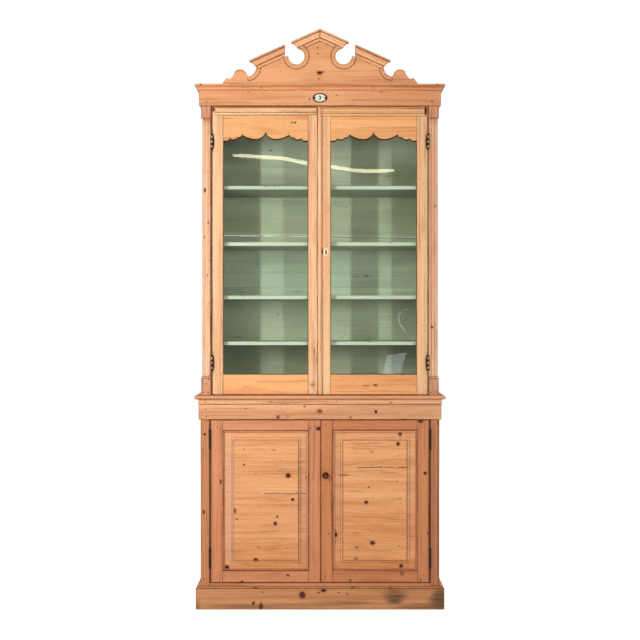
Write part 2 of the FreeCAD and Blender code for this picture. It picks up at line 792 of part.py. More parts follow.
class Hinge:
    """A butt hinge with three knuckles: two on the post, one on the door."""

    def __init__(self, name, post_x, face_y, middle, height):
        axis_x = post_x + hinge_gap / 2
        axis_y = face_y - barrel_radius - barrel_clear
        bottom = middle - height / 2
        third = height / 3
        leaf_y = (axis_y + barrel_radius + fit, face_y + leaf_depth)
        screw_y = (face_y + leaf_y[1]) / 2
        levels = [middle + step * screw_spread * height for step in (-1, 0, 1)]
        spans = {
            "post_low": (bottom, bottom + third - fit / 2),
            "door": (bottom + third + fit / 2, bottom + 2 * third - fit / 2),
            "post_high": (bottom + 2 * third + fit / 2, bottom + height),
        }
        post_leaf_x = (post_x, post_x + leaf_thickness)
        door_leaf_x = (post_x + hinge_gap - leaf_thickness, post_x + hinge_gap)
        bore = rod(f"{name}_bore", (axis_x, axis_y, bottom), "z", pin_radius + running_play, height)
        fits = {
            "post": (post_leaf_x, ("post_low", "post_high"), post_x, RIGHT),
            "door": (door_leaf_x, ("door",), post_x + hinge_gap, LEFT),
        }
        self.leaf = {}
        self.screws = {}
        self.holes = {}
        for side, (leaf_x, knuckles, wood_x, inward) in fits.items():
            pieces = [board(f"{name}_{side}_plate", leaf_x, leaf_y, (bottom, bottom + height))]
            for knuckle in knuckles:
                low, high = spans[knuckle]
                barrel = rod(
                    f"{name}_{knuckle}_barrel", (axis_x, axis_y, low), "z", barrel_radius, high - low
                )
                neck = board(f"{name}_{knuckle}_neck", leaf_x, (axis_y, leaf_y[0] + fit), (low, high))
                pieces += [barrel, neck]
            self.screws[side] = screw_row(f"{name}_{side}_screw", wood_x, inward, screw_y, levels, 0)
            self.holes[side] = screw_row(f"{name}_{side}_hole", wood_x, inward, screw_y, levels, fit / 2)
            blank = fuse(f"{name}_{side}_blank", *pieces)
            self.leaf[side] = cut(f"{name}_{side}_leaf", blank, bore, self.holes[side])
        top = bottom + height
        self.pin = fuse(
            f"{name}_pin",
            rod(f"{name}_pin_rod", (axis_x, axis_y, bottom), "z", pin_radius, height),
            rod(f"{name}_pin_cap", (axis_x, axis_y, top), "z", pin_head_radius, pin_head_height),
            rod(
                f"{name}_pin_foot",
                (axis_x, axis_y, bottom - pin_head_height),
                "z",
                pin_head_radius,
                pin_head_height,
            ),
        )


upper_foot = waist_level + foot_gap
upper_head = frieze_level - head_gap
lower_foot = floor_level + foot_gap
lower_head = fascia_level - head_gap
upper_post = pilaster_width - case_half
lower_post = stile_width - base_half
upper_hinges = [
    Hinge("upper_hinge_low", upper_post, case_front, upper_foot + upper_hinge_foot, upper_hinge_height),
    Hinge("upper_hinge_high", upper_post, case_front, upper_head - upper_hinge_head, upper_hinge_height),
]
lower_hinges = [
    Hinge("lower_hinge_low", lower_post, base_front, lower_foot + lower_hinge_foot, lower_hinge_height),
    Hinge("lower_hinge_high", lower_post, base_front, lower_head - lower_hinge_head, lower_hinge_height),
]
all_hinges = upper_hinges + lower_hinges
pair("hinge_frame_leaves", *[hinge.leaf["post"] for hinge in all_hinges])
pair("hinge_pins", *[hinge.pin for hinge in all_hinges])
pair("hinge_frame_screws", *[hinge.screws["post"] for hinge in all_hinges])

# Stiles and pilasters, drilled for the hinge screws

pair("base_stiles", cut("base_stile", stile_blank, *[hinge.holes["post"] for hinge in lower_hinges]))

shaft_foot = waist_level + base_block_height + block_collar
shaft_head = frieze_level - capital_height
reed_width = pilaster_width / 3
reed_radius = reed_width * ROUND
reed_valley = case_front + sagitta(reed_width, reed_radius)
shaft_plan = [(reed * reed_width - case_half, reed_valley, reed_radius, LEFT) for reed in range(3)]
shaft_plan += [
    (upper_post, reed_valley),
    (upper_post, case_frame_back),
    (-case_half, case_frame_back),
]
shaft_blank = prism("shaft_blank", "XY", shaft_plan, shaft_foot, shaft_head)
shaft = cut("pilaster_shaft", shaft_blank, *[hinge.holes["post"] for hinge in upper_hinges])


def pilaster_block(name, low, high, proud):
    """A square block on the pilaster, proud of the shaft in front and at the side."""
    return board(name, (-case_half - proud, upper_post), (case_front - proud, case_frame_back), (low, high))


base_block = fuse(
    "pilaster_base",
    pilaster_block("pilaster_base_block", waist_level, waist_level + base_block_height, block_proud),
    pilaster_block("pilaster_collar", waist_level + base_block_height, shaft_foot, collar_proud),
)
capital = pilaster_block("pilaster_capital", shaft_head, frieze_level, block_proud)
pair("pilasters", shaft, base_block, capital)

# Pediment


def on_slope(along, below):
    """A point of the right-hand slope: distance from the apex, and depth under the top line."""
    across = along * rake_cos - below * rake_sin
    level = apex_level - along * rake_sin - below * rake_cos
    return across, level


gable_top = on_slope(gable_length, 0)
gable_under = on_slope(gable_length, rake_depth)
rake_top = on_slope(rake_length, 0)
rake_under = on_slope(rake_length, rake_depth)
foot_low = (foot_across, pediment_level + foot_rise)
foot_radius = chord_between(foot_low, rake_under) * 0.675
scroll_level = apex_level - scroll_drop
dome_inner = (dome_across - dome_half, pediment_level + dome_inner_rise)
dome_outer = (dome_across + dome_half, pediment_level + dome_outer_rise)
dome_radius = chord_between(dome_inner, dome_outer) * 0.58
pediment_outline = [
    (0, pediment_level),
    (pediment_half, pediment_level),
    (ear_across, pediment_level + ear_rise),
    (valley_across, pediment_level + valley_rise, valley_radius, RIGHT),
    (*dome_outer, dome_radius, LEFT),
    dome_inner,
    (*foot_low, foot_radius, RIGHT),
    rake_under,
    rake_top,
    (rake_start, apex_level - rake_start * rake_slope),
    (rake_start, scroll_level),
    (scroll_across + scroll_radius, scroll_level, scroll_radius, RIGHT),
    (scroll_across, scroll_level - scroll_radius, scroll_radius, RIGHT),
    (scroll_across - scroll_radius, scroll_level, scroll_radius, RIGHT),
    gable_under,
    gable_top,
    (0, apex_level),
]
pediment_back = case_front + pediment_thickness
pediment_blank = prism("pediment_blank", "XZ", pediment_outline, case_front, pediment_back)
pediment_half_pad = pediment_blank.Tip
pediment_twin = pediment_blank.newObject("PartDesign::Mirrored", "pediment_blank_twin")
pediment_twin.Originals = [pediment_half_pad]
pediment_twin.MirrorPlane = (origin_plane(pediment_blank, "YZ_Plane"), [""])
pediment_blank.Tip = pediment_twin

line_span = (case_front - trim, case_front + line_depth)


def ring_line(name, across, level, radius):
    """A round incised line in the face of the pediment."""
    at = (across, line_span[0], level)
    length = line_span[1] - line_span[0]
    outer = rod(f"{name}_outer", at, "y", radius + line_width / 2, length)
    inner = rod(f"{name}_inner", at, "y", radius - line_width / 2, length)
    return cut(name, outer, inner)


scroll_line = ring_line("scroll_line", scroll_across, scroll_level, scroll_radius + scroll_ring)
foot_reach = foot_radius + foot_ring
foot_centre = foot_low[1] + foot_radius
foot_line = common(
    "foot_line",
    ring_line("foot_ring_line", foot_across, foot_centre, foot_reach),
    board(
        "foot_line_limit",
        (foot_across - foot_reach - trim, foot_across),
        line_span,
        (foot_centre - foot_reach - trim, foot_centre + foot_reach + trim),
    ),
)
foot_upright = board(
    "foot_upright",
    (foot_across - line_width / 2, foot_across + line_width / 2),
    line_span,
    (foot_low[1] - foot_ring, foot_low[1] + line_width),
)
lines = [scroll_line, foot_line, foot_upright]
lines += [mirrored(f"{line.Name}_twin", line) for line in lines]
node("pediment_board", cut("pediment_board", pediment_blank, *lines))

# Raking mouldings: sections are given as (outward, below) from the top line of the slope

cove_depth = rake_depth - rake_fillet - rake_step
cove_across = rake_reach - 2 * rake_step
rake_section = [
    (0, 0),
    (rake_reach, 0),
    (rake_reach, rake_fillet),
    (rake_reach - rake_step, rake_fillet, tangent_radius(cove_depth / rake_cos, cove_across), RIGHT),
    (rake_step, rake_depth - rake_step),
    (rake_step, rake_depth),
    (0, rake_depth),
]
bead_chord = rake_bead_depth / rake_cos
bead_flat = rake_bead_reach - sagitta(bead_chord, bead_chord * ROUND)
bead_section = [
    (0, rake_depth),
    (bead_flat, rake_depth, bead_chord * ROUND, LEFT),
    (bead_flat, rake_depth + rake_bead_depth),
    (0, rake_depth + rake_bead_depth),
]


def raking_bar(name, section, start, end):
    """A bar down the right-hand slope between two upright planes."""
    start_level = apex_level - start * rake_slope
    upright = [(case_front - c[0], start_level - c[1] / rake_cos) + tuple(c[2:]) for c in section]
    body = doc.addObject("PartDesign::Body", name)
    pad = body.newObject("PartDesign::Pad", f"{name}_pad")
    pad.Profile = outline(body, f"{name}_sketch", "YZ_Plane", upright)
    pad.UseCustomVector = True
    pad.AlongSketchNormal = False
    pad.Direction = FreeCAD.Vector(rake_cos.value, 0, -rake_sin.value)
    pad.setExpression("Direction.x", rake_cos.formula)
    pad.setExpression("Direction.z", (-rake_sin).formula)
    pad.setExpression("Length", ((size_of(end) - start) / rake_cos).formula)
    body.Tip = pad
    body.setExpression("Placement.Base.x", size_of(start).formula)
    return body


def raking_moulding(name, start, length):
    """A raking moulding whose lower end shows the moulding's own profile from the front."""
    start_level = apex_level - start * rake_slope
    front = [(start, start_level)]
    for corner in rake_section[1:]:
        turn = (corner[2], -corner[3]) if len(corner) == 4 else ()
        front.append(on_slope(length + corner[0], corner[1]) + turn)
    front.append((start, start_level - rake_depth / rake_cos))
    limit = prism(f"{name}_limit", "XZ", front, case_front - rake_reach - trim, case_front)
    bar = raking_bar(f"{name}_bar", rake_section, start, (length + rake_reach) * rake_cos + trim)
    return common(name, bar, limit)


pair(
    "pediment_mouldings",
    raking_moulding("gable_moulding", joint_gap / 2, gable_length),
    raking_bar("gable_bead", bead_section, joint_gap / 2, gable_bead_across),
    raking_moulding("rake_moulding", rake_start, rake_length),
    raking_bar("rake_bead", bead_section, rake_start, rake_bead_across),
)
pair(
    "pediment_battens",
    board(
        "pediment_batten",
        (batten_across, batten_across + batten_width),
        (pediment_back, pediment_back + batten_thickness),
        (cornice_level, cornice_level + batten_height),
    ),
)

# Number plate, pinned to the frieze

plate_face = case_front - frieze_proud
plate_level = frieze_level + frieze_height / 2
oval_middle = oval_half_width - oval_end_radius
oval_side_radius = (
    oval_middle * oval_middle + oval_half_height * oval_half_height - oval_end_radius * oval_end_radius
) / (2 * (oval_half_height - oval_end_radius))
oval_share = oval_side_radius / (oval_side_radius - oval_end_radius)
oval_across = oval_middle * oval_share
oval_along = oval_end_radius * (oval_side_radius - oval_half_height) / (oval_side_radius - oval_end_radius)
oval_outline = [
    (-oval_across, plate_level - oval_along, oval_side_radius, LEFT),
    (oval_across, plate_level - oval_along, oval_end_radius, LEFT),
    (oval_across, plate_level + oval_along, oval_side_radius, LEFT),
    (-oval_across, plate_level + oval_along, oval_end_radius, LEFT),
]
oval_blank = prism("oval_blank", "XZ", oval_outline, plate_face - oval_thickness, plate_face)


def plate_pin(name, play):
    """The left pin of the number plate, or its hole when play is added."""
    shank = rod(
        f"{name}_shank",
        (-pin_across, plate_face - oval_thickness, plate_level),
        "y",
        nail_radius + play,
        oval_thickness + nail_length + play,
    )
    head = taper(
        f"{name}_head",
        (-pin_across, plate_face - oval_thickness - nail_head_height, plate_level),
        "y",
        nail_head_radius * ROUND,
        nail_head_radius,
        nail_head_height,
    )
    return fuse(name, shank, head)


pin_hole = plate_pin("plate_pin_hole", fit / 2)
pin_hole_twin = mirrored("plate_pin_hole_twin", pin_hole)
node("number_plate", cut("number_plate", oval_blank, pin_hole, pin_hole_twin))
pair("plate_pins", plate_pin("plate_pin", 0))
drilled_frieze = cut("frieze_drilled", frieze_front, pin_hole, pin_hole_twin)
node("frieze", head_rail, drilled_frieze, frieze_left, frieze_right)

# Doors


class Door:
    """A framed door of the left-hand side; a right-hand door is built as its mirror image."""

    def __init__(self, name, turned, face, x, z, stiles, rails, hinges):
        self.name = name
        self.turned = turned
        self.face = face
        self.back = face + frame_thickness
        self.x = x
        self.z = z
        self.sight_x = (x[0] + stiles[0], x[1] - stiles[1])
        self.sight_z = (z[0] + rails[0], z[1] - rails[1])
        self.hinges = hinges
        self.publish("hinge_leaves", *[hinge.leaf["door"] for hinge in hinges])
        self.publish("hinge_screws", *[hinge.screws["door"] for hinge in hinges])

    def publish(self, suffix, *pieces):
        """Names pieces of this door, turned to the right-hand side where it belongs there."""
        label = f"{self.name}_{suffix}"
        if self.turned:
            pieces = [mirrored(f"{label}_turned_{index}", piece) for index, piece in enumerate(pieces)]
        node(label, *pieces)

    def tenon(self, name, end, span, play):
        """A tenon at one end of a rail, or its mortise when play is added."""
        low, high = self.sight_x
        x = (low - tenon_length - play, low) if end == 0 else (high, high + tenon_length + play)
        front = self.face + groove_setback
        y = (front - play, front + tenon_thickness + play)
        return board(f"{self.name}_{name}_{end}", x, y, (span[0] - play, span[1] + play))

    def frame(self, head, foot, spans, well, bores):
        """Stiles and rails with tenons, mortises and the well for the glass or the panel."""
        rails = []
        for name, blank, span in (("head", head, spans[0]), ("foot", foot, spans[1])):
            tenons = [self.tenon(f"{name}_tenon", end, span, 0) for end in (0, 1)]
            joined = fuse(f"{self.name}_{name}_joined", blank, *tenons)
            rails.append(cut(f"{self.name}_{name}_rail", joined, well))
        stiles = []
        edges = ((self.x[0], self.sight_x[0]), (self.sight_x[1], self.x[1]))
        fittings = ([hinge.holes["door"] for hinge in self.hinges], bores)
        for end, (x, holes) in enumerate(zip(edges, fittings)):
            blank = board(f"{self.name}_stile_blank_{end}", x, (self.face, self.back), self.z)
            mortises = [
                self.tenon(f"{name}_mortise", end, span, fit / 2)
                for name, span in zip(("head", "foot"), spans)
            ]
            stiles.append(cut(f"{self.name}_stile_{end}", blank, well, *mortises, *holes))
        self.publish("stiles", *stiles)
        self.publish("rails", *rails)

    def foot_board(self):
        """The plain bottom rail before its tenons."""
        z = (self.z[0], self.sight_z[0])
        return board(f"{self.name}_foot_blank", self.sight_x, (self.face, self.back), z)


def scalloped_rail(door):
    """Top rail whose lower edge has two large lobes, two small ones and a cusp between."""
    low, high = door.sight_x
    middle = (low + high) / 2
    stretch = (high - low) / (2 * scallop_span)
    level = door.sight_z[1]
    lobe = lobe_across * stretch
    notch = lobe + notch_width * stretch
    step = notch + step_offset * stretch
    step_end = step + step_width * stretch
    tooth = step_end + tooth_offset * stretch
    tooth_end = tooth + tooth_width * stretch
    outwards = [
        (0, cusp_rise, tangent_radius(lobe, cusp_rise - lobe_rise), LEFT),
        (lobe, lobe_rise, tangent_radius(notch - lobe, notch_rise - lobe_rise), LEFT),
        (notch, notch_rise),
        (step, step_rise),
        (step_end, step_rise),
        (tooth, tooth_rise, tooth_radius * stretch, LEFT),
        (tooth_end, tooth_rise),
        (tooth_end + flat_offset * stretch, 0),
        (high - middle, 0),
    ]
    edge = [(middle - b[0], level + b[1]) + tuple(a[2:]) for a, b in zip(outwards, outwards[1:])][::-1]
    edge += [(middle + c[0], level + c[1]) + tuple(c[2:]) for c in outwards]
    corners = edge + [(high, door.z[1]), (low, door.z[1])]
    return prism(f"{door.name}_scallop", "XZ", corners, door.face, door.back)


def glazed_door(name, turned, free_edge, meeting_stile, cap_end, cap_drop, bores):
    """An upper door: scalloped frame, pane, strips behind it and a cap moulding."""
    door = Door(
        name,
        turned,
        case_front,
        (upper_post + hinge_gap, free_edge),
        (upper_foot, upper_head),
        (glazed_stile, meeting_stile),
        (glazed_foot_rail, glazed_head_rail),
        upper_hinges,
    )
    well_x = (door.sight_x[0] - groove_depth, door.sight_x[1] + groove_depth)
    well_z = (door.sight_z[0] - groove_depth, door.sight_z[1] + cusp_rise + groove_depth)
    glass_y = (door.face + front_lip, door.face + front_lip + glass_thickness)
    well = board(f"{name}_well", well_x, (glass_y[0], door.back + trim), well_z)
    spans = (
        (well_z[1] + tenon_shoulder, door.z[1] - tenon_shoulder),
        (door.z[0] + tenon_shoulder, well_z[0] - tenon_shoulder),
    )
    door.frame(scalloped_rail(door), door.foot_board(), spans, well, bores)
    pane_x = (well_x[0] + fit, well_x[1] - fit)
    pane_z = (well_z[0] + fit, well_z[1] - fit)
    door.publish("pane", board(f"{name}_pane_sheet", pane_x, glass_y, pane_z))

    strip_y = (glass_y[1], door.back)
    between_x = (well_x[0] + glazing_bead + joint_gap, well_x[1] - glazing_bead - joint_gap)
    strips = [
        board(f"{name}_strip_left", (well_x[0], well_x[0] + glazing_bead), strip_y, well_z),
        board(f"{name}_strip_right", (well_x[1] - glazing_bead, well_x[1]), strip_y, well_z),
        board(f"{name}_strip_foot", between_x, strip_y, (well_z[0], well_z[0] + glazing_bead)),
        board(f"{name}_strip_head", between_x, strip_y, (well_z[1] - glazing_bead, well_z[1])),
    ]
    door.publish("glazing_beads", *strips)

    round_foot = cap_strip_height + cap_quirk
    cap_chord = cap_height - round_foot
    cap_profile = [
        (0, 0),
        (cap_strip_reach, 0),
        (cap_strip_reach, cap_strip_height),
        (cap_quirk, cap_strip_height),
        (cap_quirk, round_foot, cap_chord * ROUND, RIGHT),
        (cap_quirk, cap_height),
        (0, cap_height),
    ]
    cap_level = door.z[1] - cap_drop - cap_height
    cap_corners = [(door.face - c[0], cap_level + c[1]) + tuple(c[2:]) for c in cap_profile]
    cap = prism(f"{name}_cap_bar", "YZ", cap_corners, door.x[0] + cap_inset, cap_end)
    door.publish("cap", cap)
    return door


def panelled_door(name, turned, free_edge, bores):
    """A lower door: frame, fielded panel and the strips around it."""
    door = Door(
        name,
        turned,
        base_front,
        (lower_post + hinge_gap, free_edge),
        (lower_foot, lower_head),
        (panelled_stile, panelled_stile),
        (panelled_foot_rail, panelled_head_rail),
        lower_hinges,
    )
    low_x, high_x = door.sight_x
    low_z, high_z = door.sight_z
    groove_y = (door.face + groove_setback, door.face + groove_setback + tenon_thickness)

    def inside(margin):
        """Rectangle of the frame's opening, drawn in by a margin."""
        return (low_x + margin, high_x - margin), (low_z + margin, high_z - margin)

    well_x, well_z = inside(-groove_depth)
    well = board(f"{name}_well", well_x, groove_y, well_z)
    head = board(f"{name}_head_blank", door.sight_x, (door.face, door.back), (high_z, door.z[1]))
    spans = (
        (high_z + tenon_shoulder, door.z[1] - tenon_shoulder),
        (door.z[0] + tenon_shoulder, low_z - tenon_shoulder),
    )
    door.frame(head, door.foot_board(), spans, well, bores)

    tongue_x, tongue_z = inside(fit - groove_depth)
    tongue_y = (groove_y[0] + fit / 2, groove_y[1] - fit / 2)
    bevel_x, bevel_z = inside(panel_moulding + fit)
    field_x, field_z = inside(panel_moulding + fit + panel_border)
    field_face = door.face + panel_field_drop
    tongue = board(f"{name}_tongue", tongue_x, tongue_y, tongue_z)
    field = board(f"{name}_field", field_x, (field_face, tongue_y[0]), field_z)
    bevel = doc.addObject("Part::Wedge", f"{name}_bevel")
    bevel_sizes = {
        "X": field_x,
        "Z": field_z,
        "Y": (field_face + panel_field_step, tongue_y[0]),
        "X2": bevel_x,
        "Z2": bevel_z,
    }
    for side, (low, high) in bevel_sizes.items():
        bevel.setExpression(f"{side}min", low.formula)
        bevel.setExpression(f"{side}max", high.formula)
    door.publish("panel", fuse(f"{name}_panel_board", tongue, bevel, field))

    inner_x, inner_z = inside(panel_moulding)
    strip_y = (door.face + panel_moulding_drop, tongue_y[0])
    strips = []
    for side, (outer, inner) in enumerate(zip(door.sight_x, inner_x)):
        upright = [
            (outer, low_z + joint_gap),
            (inner, inner_z[0] + joint_gap),
            (inner, inner_z[1] - joint_gap),
            (outer, high_z - joint_gap),
        ]
        strips.append(prism(f"{name}_upright_strip_{side}", "XZ", upright, *strip_y))
    for side, (outer, inner) in enumerate(zip(door.sight_z, inner_z)):
        level = [(low_x, outer), (high_x, outer), (inner_x[1], inner), (inner_x[0], inner)]
        strips.append(prism(f"{name}_level_strip_{side}", "XZ", level, *strip_y))
    door.publish("panel_mouldings", *strips)
    return door


def sliding_bolt(door):
    """A bolt on a plate behind the meeting stile, near the top of a left-hand door."""
    name = door.name
    rod_x = door.x[1] - rod_inset
    plate_y = (door.back, door.back + bolt_plate_thickness)
    rod_y = plate_y[1] + fit + rod_radius
    plate_top = door.z[1] - bolt_plate_drop
    plate_z = (plate_top - bolt_plate_height, plate_top)
    plate_x = (rod_x - bolt_plate_width / 2, rod_x + bolt_plate_width / 2)
    around = rod_radius + staple_wall
    pieces = [board(f"{name}_bolt_base", plate_x, plate_y, plate_z)]
    for index, low in enumerate((plate_z[0], plate_top - staple_height)):
        x = (rod_x - around, rod_x + around)
        pieces.append(
            board(f"{name}_staple_{index}", x, (plate_y[1], rod_y + around), (low, low + staple_height))
        )
    bore_radius = rod_radius + running_play
    bore = rod(f"{name}_bolt_bore", (rod_x, rod_y, plate_z[0]), "z", bore_radius, bolt_plate_height)
    door.publish("bolt_plate", cut(f"{name}_bolt_holder", fuse(f"{name}_bolt_blank", *pieces), bore))
    rod_low = door.z[1] - rod_drop - rod_length
    thumb_level = plate_z[0] + staple_height + rod_knob_radius + fit
    shank = rod(f"{name}_bolt_shank", (rod_x, rod_y, rod_low), "z", rod_radius, rod_length)
    thumb = rod(
        f"{name}_bolt_thumb", (rod_x, rod_y, thumb_level), "y", rod_knob_radius, rod_radius + rod_knob_length
    )
    door.publish("bolt", fuse(f"{name}_bolt_rod", shank, thumb))


# Upper doors: the meeting line lies left of the middle

left_free_edge = -meeting_offset - meeting_gap / 2
right_free_edge = meeting_offset - meeting_gap / 2
left_cap_end = left_free_edge - left_cap_inset
right_cap_end = right_free_edge - right_cap_inset
upper_left = glazed_door(
    "upper_left", False, left_free_edge, left_meeting_stile, left_cap_end, left_cap_drop, []
)
sliding_bolt(upper_left)

lock_x = right_free_edge - lock_across
lock_level = waist_level + lock_height
keyhole_y = (case_front - plate_thickness - trim, case_frame_back + bolt_gap)
keyhole = fuse(
    "keyhole",
    rod(
        "keyhole_round",
        (lock_x, keyhole_y[0], lock_level),
        "y",
        keyhole_radius,
        keyhole_y[1] - keyhole_y[0],
    ),
    board(
        "keyhole_slot",
        (lock_x - keyhole_radius / 2, lock_x + keyhole_radius / 2),
        keyhole_y,
        (lock_level - keyhole_drop, lock_level),
    ),
)
upper_right = glazed_door(
    "upper_right", True, right_free_edge, right_meeting_stile, right_cap_end, right_cap_drop, [keyhole]
)
bead_low_x = right_free_edge - meeting_bead_width
meeting_bead_plan = [
    (bead_low_x, case_front, meeting_bead_width * ROUND, LEFT),
    (right_free_edge, case_front),
]
meeting_bead = prism("meeting_bead_bar", "XY", meeting_bead_plan, upper_foot, upper_head)
cap_scribe = board(
    "cap_scribe",
    (bead_low_x - trim, right_cap_end + fit),
    (case_front - meeting_bead_width, case_front),
    (upper_head - right_cap_drop - cap_height - fit, upper_head + trim),
)
upper_right.publish("meeting_bead", cut("meeting_bead_scribed", meeting_bead, cap_scribe))

plate_round = 2 * plate_half_width * ROUND
plate_shoulder = plate_half_height - sagitta(2 * plate_half_width, plate_round)
escutcheon_outline = [
    (lock_x - plate_half_width, lock_level - plate_shoulder, plate_round, LEFT),
    (lock_x + plate_half_width, lock_level - plate_shoulder),
    (lock_x + plate_half_width, lock_level + plate_shoulder, plate_round, LEFT),
    (lock_x - plate_half_width, lock_level + plate_shoulder),
]
escutcheon = prism(
    "escutcheon_blank", "XZ", escutcheon_outline, case_front - plate_thickness, case_front
)
upper_right.publish("lock_escutcheon", cut("escutcheon_cut", escutcheon, keyhole))

lock_edge = right_free_edge - lock_inset
bolt_low_y = case_frame_back + bolt_gap


def lock_bolt(name, play):
    """The lock's bolt, or its slot when play is added."""
    return board(
        name,
        (lock_edge - bolt_length - play, lock_edge),
        (bolt_low_y - play, bolt_low_y + bolt_thickness + play),
        (lock_level - bolt_tall / 2 - play, lock_level + bolt_tall / 2 + play),
    )


lock_blank = board(
    "lock_blank",
    (lock_edge - lock_width, lock_edge),
    (case_frame_back, case_frame_back + lock_depth),
    (lock_level - lock_tall / 2, lock_level + lock_tall / 2),
)
lock_body = cut("lock_body", lock_blank, lock_bolt("lock_slot", fit / 2), keyhole)
upper_right.publish("lock_case", lock_body)
upper_right.publish("lock_bolt", lock_bolt("lock_bolt_bar", 0))

# Lower doors: the right one has a knob that turns a catch behind the left one

lower_left = panelled_door("lower_left", False, lower_meeting_offset - meeting_gap / 2, [])
sliding_bolt(lower_left)

lower_right_edge = -lower_meeting_offset - meeting_gap / 2
knob_x = lower_right_edge - knob_across
spindle_hole = rod(
    "spindle_hole",
    (knob_x, base_front - trim, knob_height),
    "y",
    spindle_radius + running_play,
    frame_thickness + 2 * trim,
)
lower_right = panelled_door("lower_right", True, lower_right_edge, [spindle_hole])

catch_y = (base_frame_back + catch_gap, base_frame_back + catch_gap + catch_thickness)
knob_tip = base_front - knob_reach
knob_belly = knob_reach * 0.35
knob_profile = [
    (0, knob_tip, tangent_radius(knob_radius, knob_belly), LEFT),
    (knob_radius, knob_tip + knob_belly, knob_radius * 0.75, LEFT),
    (knob_neck, base_front - knob_reach * 0.35),
    (knob_neck, base_front - knob_reach * 0.12),
    (knob_collar, base_front - knob_reach * 0.12),
    (knob_collar, base_front - fit),
    (spindle_radius, base_front - fit),
    (spindle_radius, catch_y[1] + catch_gap),
    (0, catch_y[1] + catch_gap),
]
knob = doc.addObject("PartDesign::Body", "knob_turning")
knob_turn = knob.newObject("PartDesign::Revolution", "knob_revolution")
knob_sketch = outline(knob, "knob_sketch", "XY_Plane", knob_profile)
knob_turn.Profile = knob_sketch
knob_turn.ReferenceAxis = (knob_sketch, ["V_Axis"])
knob.Tip = knob_turn
place(knob, (knob_x, 0, knob_height))
lower_right.publish("knob", knob)

catch_blank = board(
    "catch_blank",
    (knob_x - catch_width / 2, knob_x + catch_width / 2),
    catch_y,
    (knob_height - catch_length, knob_height + catch_width / 2),
)
lower_right.publish("turn_catch", cut("catch_bored", catch_blank, spindle_hole))

# Recompute, look for faults and write one file per sub-part

doc.recompute()
faulty = [part.Label for part in doc.Objects if {"Invalid", "Error"} & set(part.State)]
faulty += [part.Label for part in nodes if part.Shape.isNull() or not part.Shape.isValid()]
if faulty:
    raise RuntimeError(f"faulty objects: {faulty}")

os.makedirs("parts", exist_ok=True)
for part in nodes:
    part.Shape.exportStep(f"parts/{part.Label}.step")
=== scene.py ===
import json
import logging
import math
import random
from dataclasses import dataclass, field
from enum import Enum
from typing import Any, ClassVar

import bmesh
import bpy
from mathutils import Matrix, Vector
from mathutils.bvhtree import BVHTree


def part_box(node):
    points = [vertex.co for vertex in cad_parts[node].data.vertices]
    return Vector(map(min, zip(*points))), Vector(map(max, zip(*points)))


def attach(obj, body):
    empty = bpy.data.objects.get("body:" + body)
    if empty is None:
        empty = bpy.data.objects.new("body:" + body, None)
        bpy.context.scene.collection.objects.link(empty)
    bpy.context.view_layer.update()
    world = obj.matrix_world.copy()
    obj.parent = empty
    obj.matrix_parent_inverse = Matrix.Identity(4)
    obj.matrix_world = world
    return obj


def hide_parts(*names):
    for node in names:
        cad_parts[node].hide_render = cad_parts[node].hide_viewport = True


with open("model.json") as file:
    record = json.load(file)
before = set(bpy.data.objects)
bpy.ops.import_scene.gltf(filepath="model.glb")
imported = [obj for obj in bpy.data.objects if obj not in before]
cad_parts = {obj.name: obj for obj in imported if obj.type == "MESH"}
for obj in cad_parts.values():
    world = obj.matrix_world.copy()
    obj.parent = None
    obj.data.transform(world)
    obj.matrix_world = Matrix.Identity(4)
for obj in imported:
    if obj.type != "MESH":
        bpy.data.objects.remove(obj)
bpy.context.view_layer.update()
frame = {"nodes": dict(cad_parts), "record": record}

MM = 0.001
LOG = logging.getLogger("bookcase")

Colour = tuple[int, int, int]
Point = tuple[float, float, float]
Spot = tuple[float, float]
Span = tuple[float, float]

WHITE = (1.0, 1.0, 1.0, 1.0)
MID_NOISE = (0.5, 0.5, 0.5)
ACROSS_GRAIN = (0.0, 1.0, 1.0)


def set_out(name: str, data: bpy.types.ID) -> bpy.types.Object:
    """Puts a mesh, a curve, a light or a camera into the scene.

    Args:
        name: The new object's name.
        data: What the object shows.

    Returns:
        The new object.
    """
    made = bpy.data.objects.new(name, data)
    bpy.context.scene.collection.objects.link(made)
    return made


def paint(colour: Colour) -> tuple[float, float, float, float]:
    """Turns a colour as it is seen into the value that a shader takes.

    Args:
        colour: Red, green and blue from 0 to 255.

    Returns:
        The same colour as linear light, with full alpha.
    """
    shares = [part / 255 for part in colour]
    linear = [s / 12.92 if s <= 0.04045 else ((s + 0.055) / 1.055) ** 2.4 for s in shares]
    return linear[0], linear[1], linear[2], 1.0


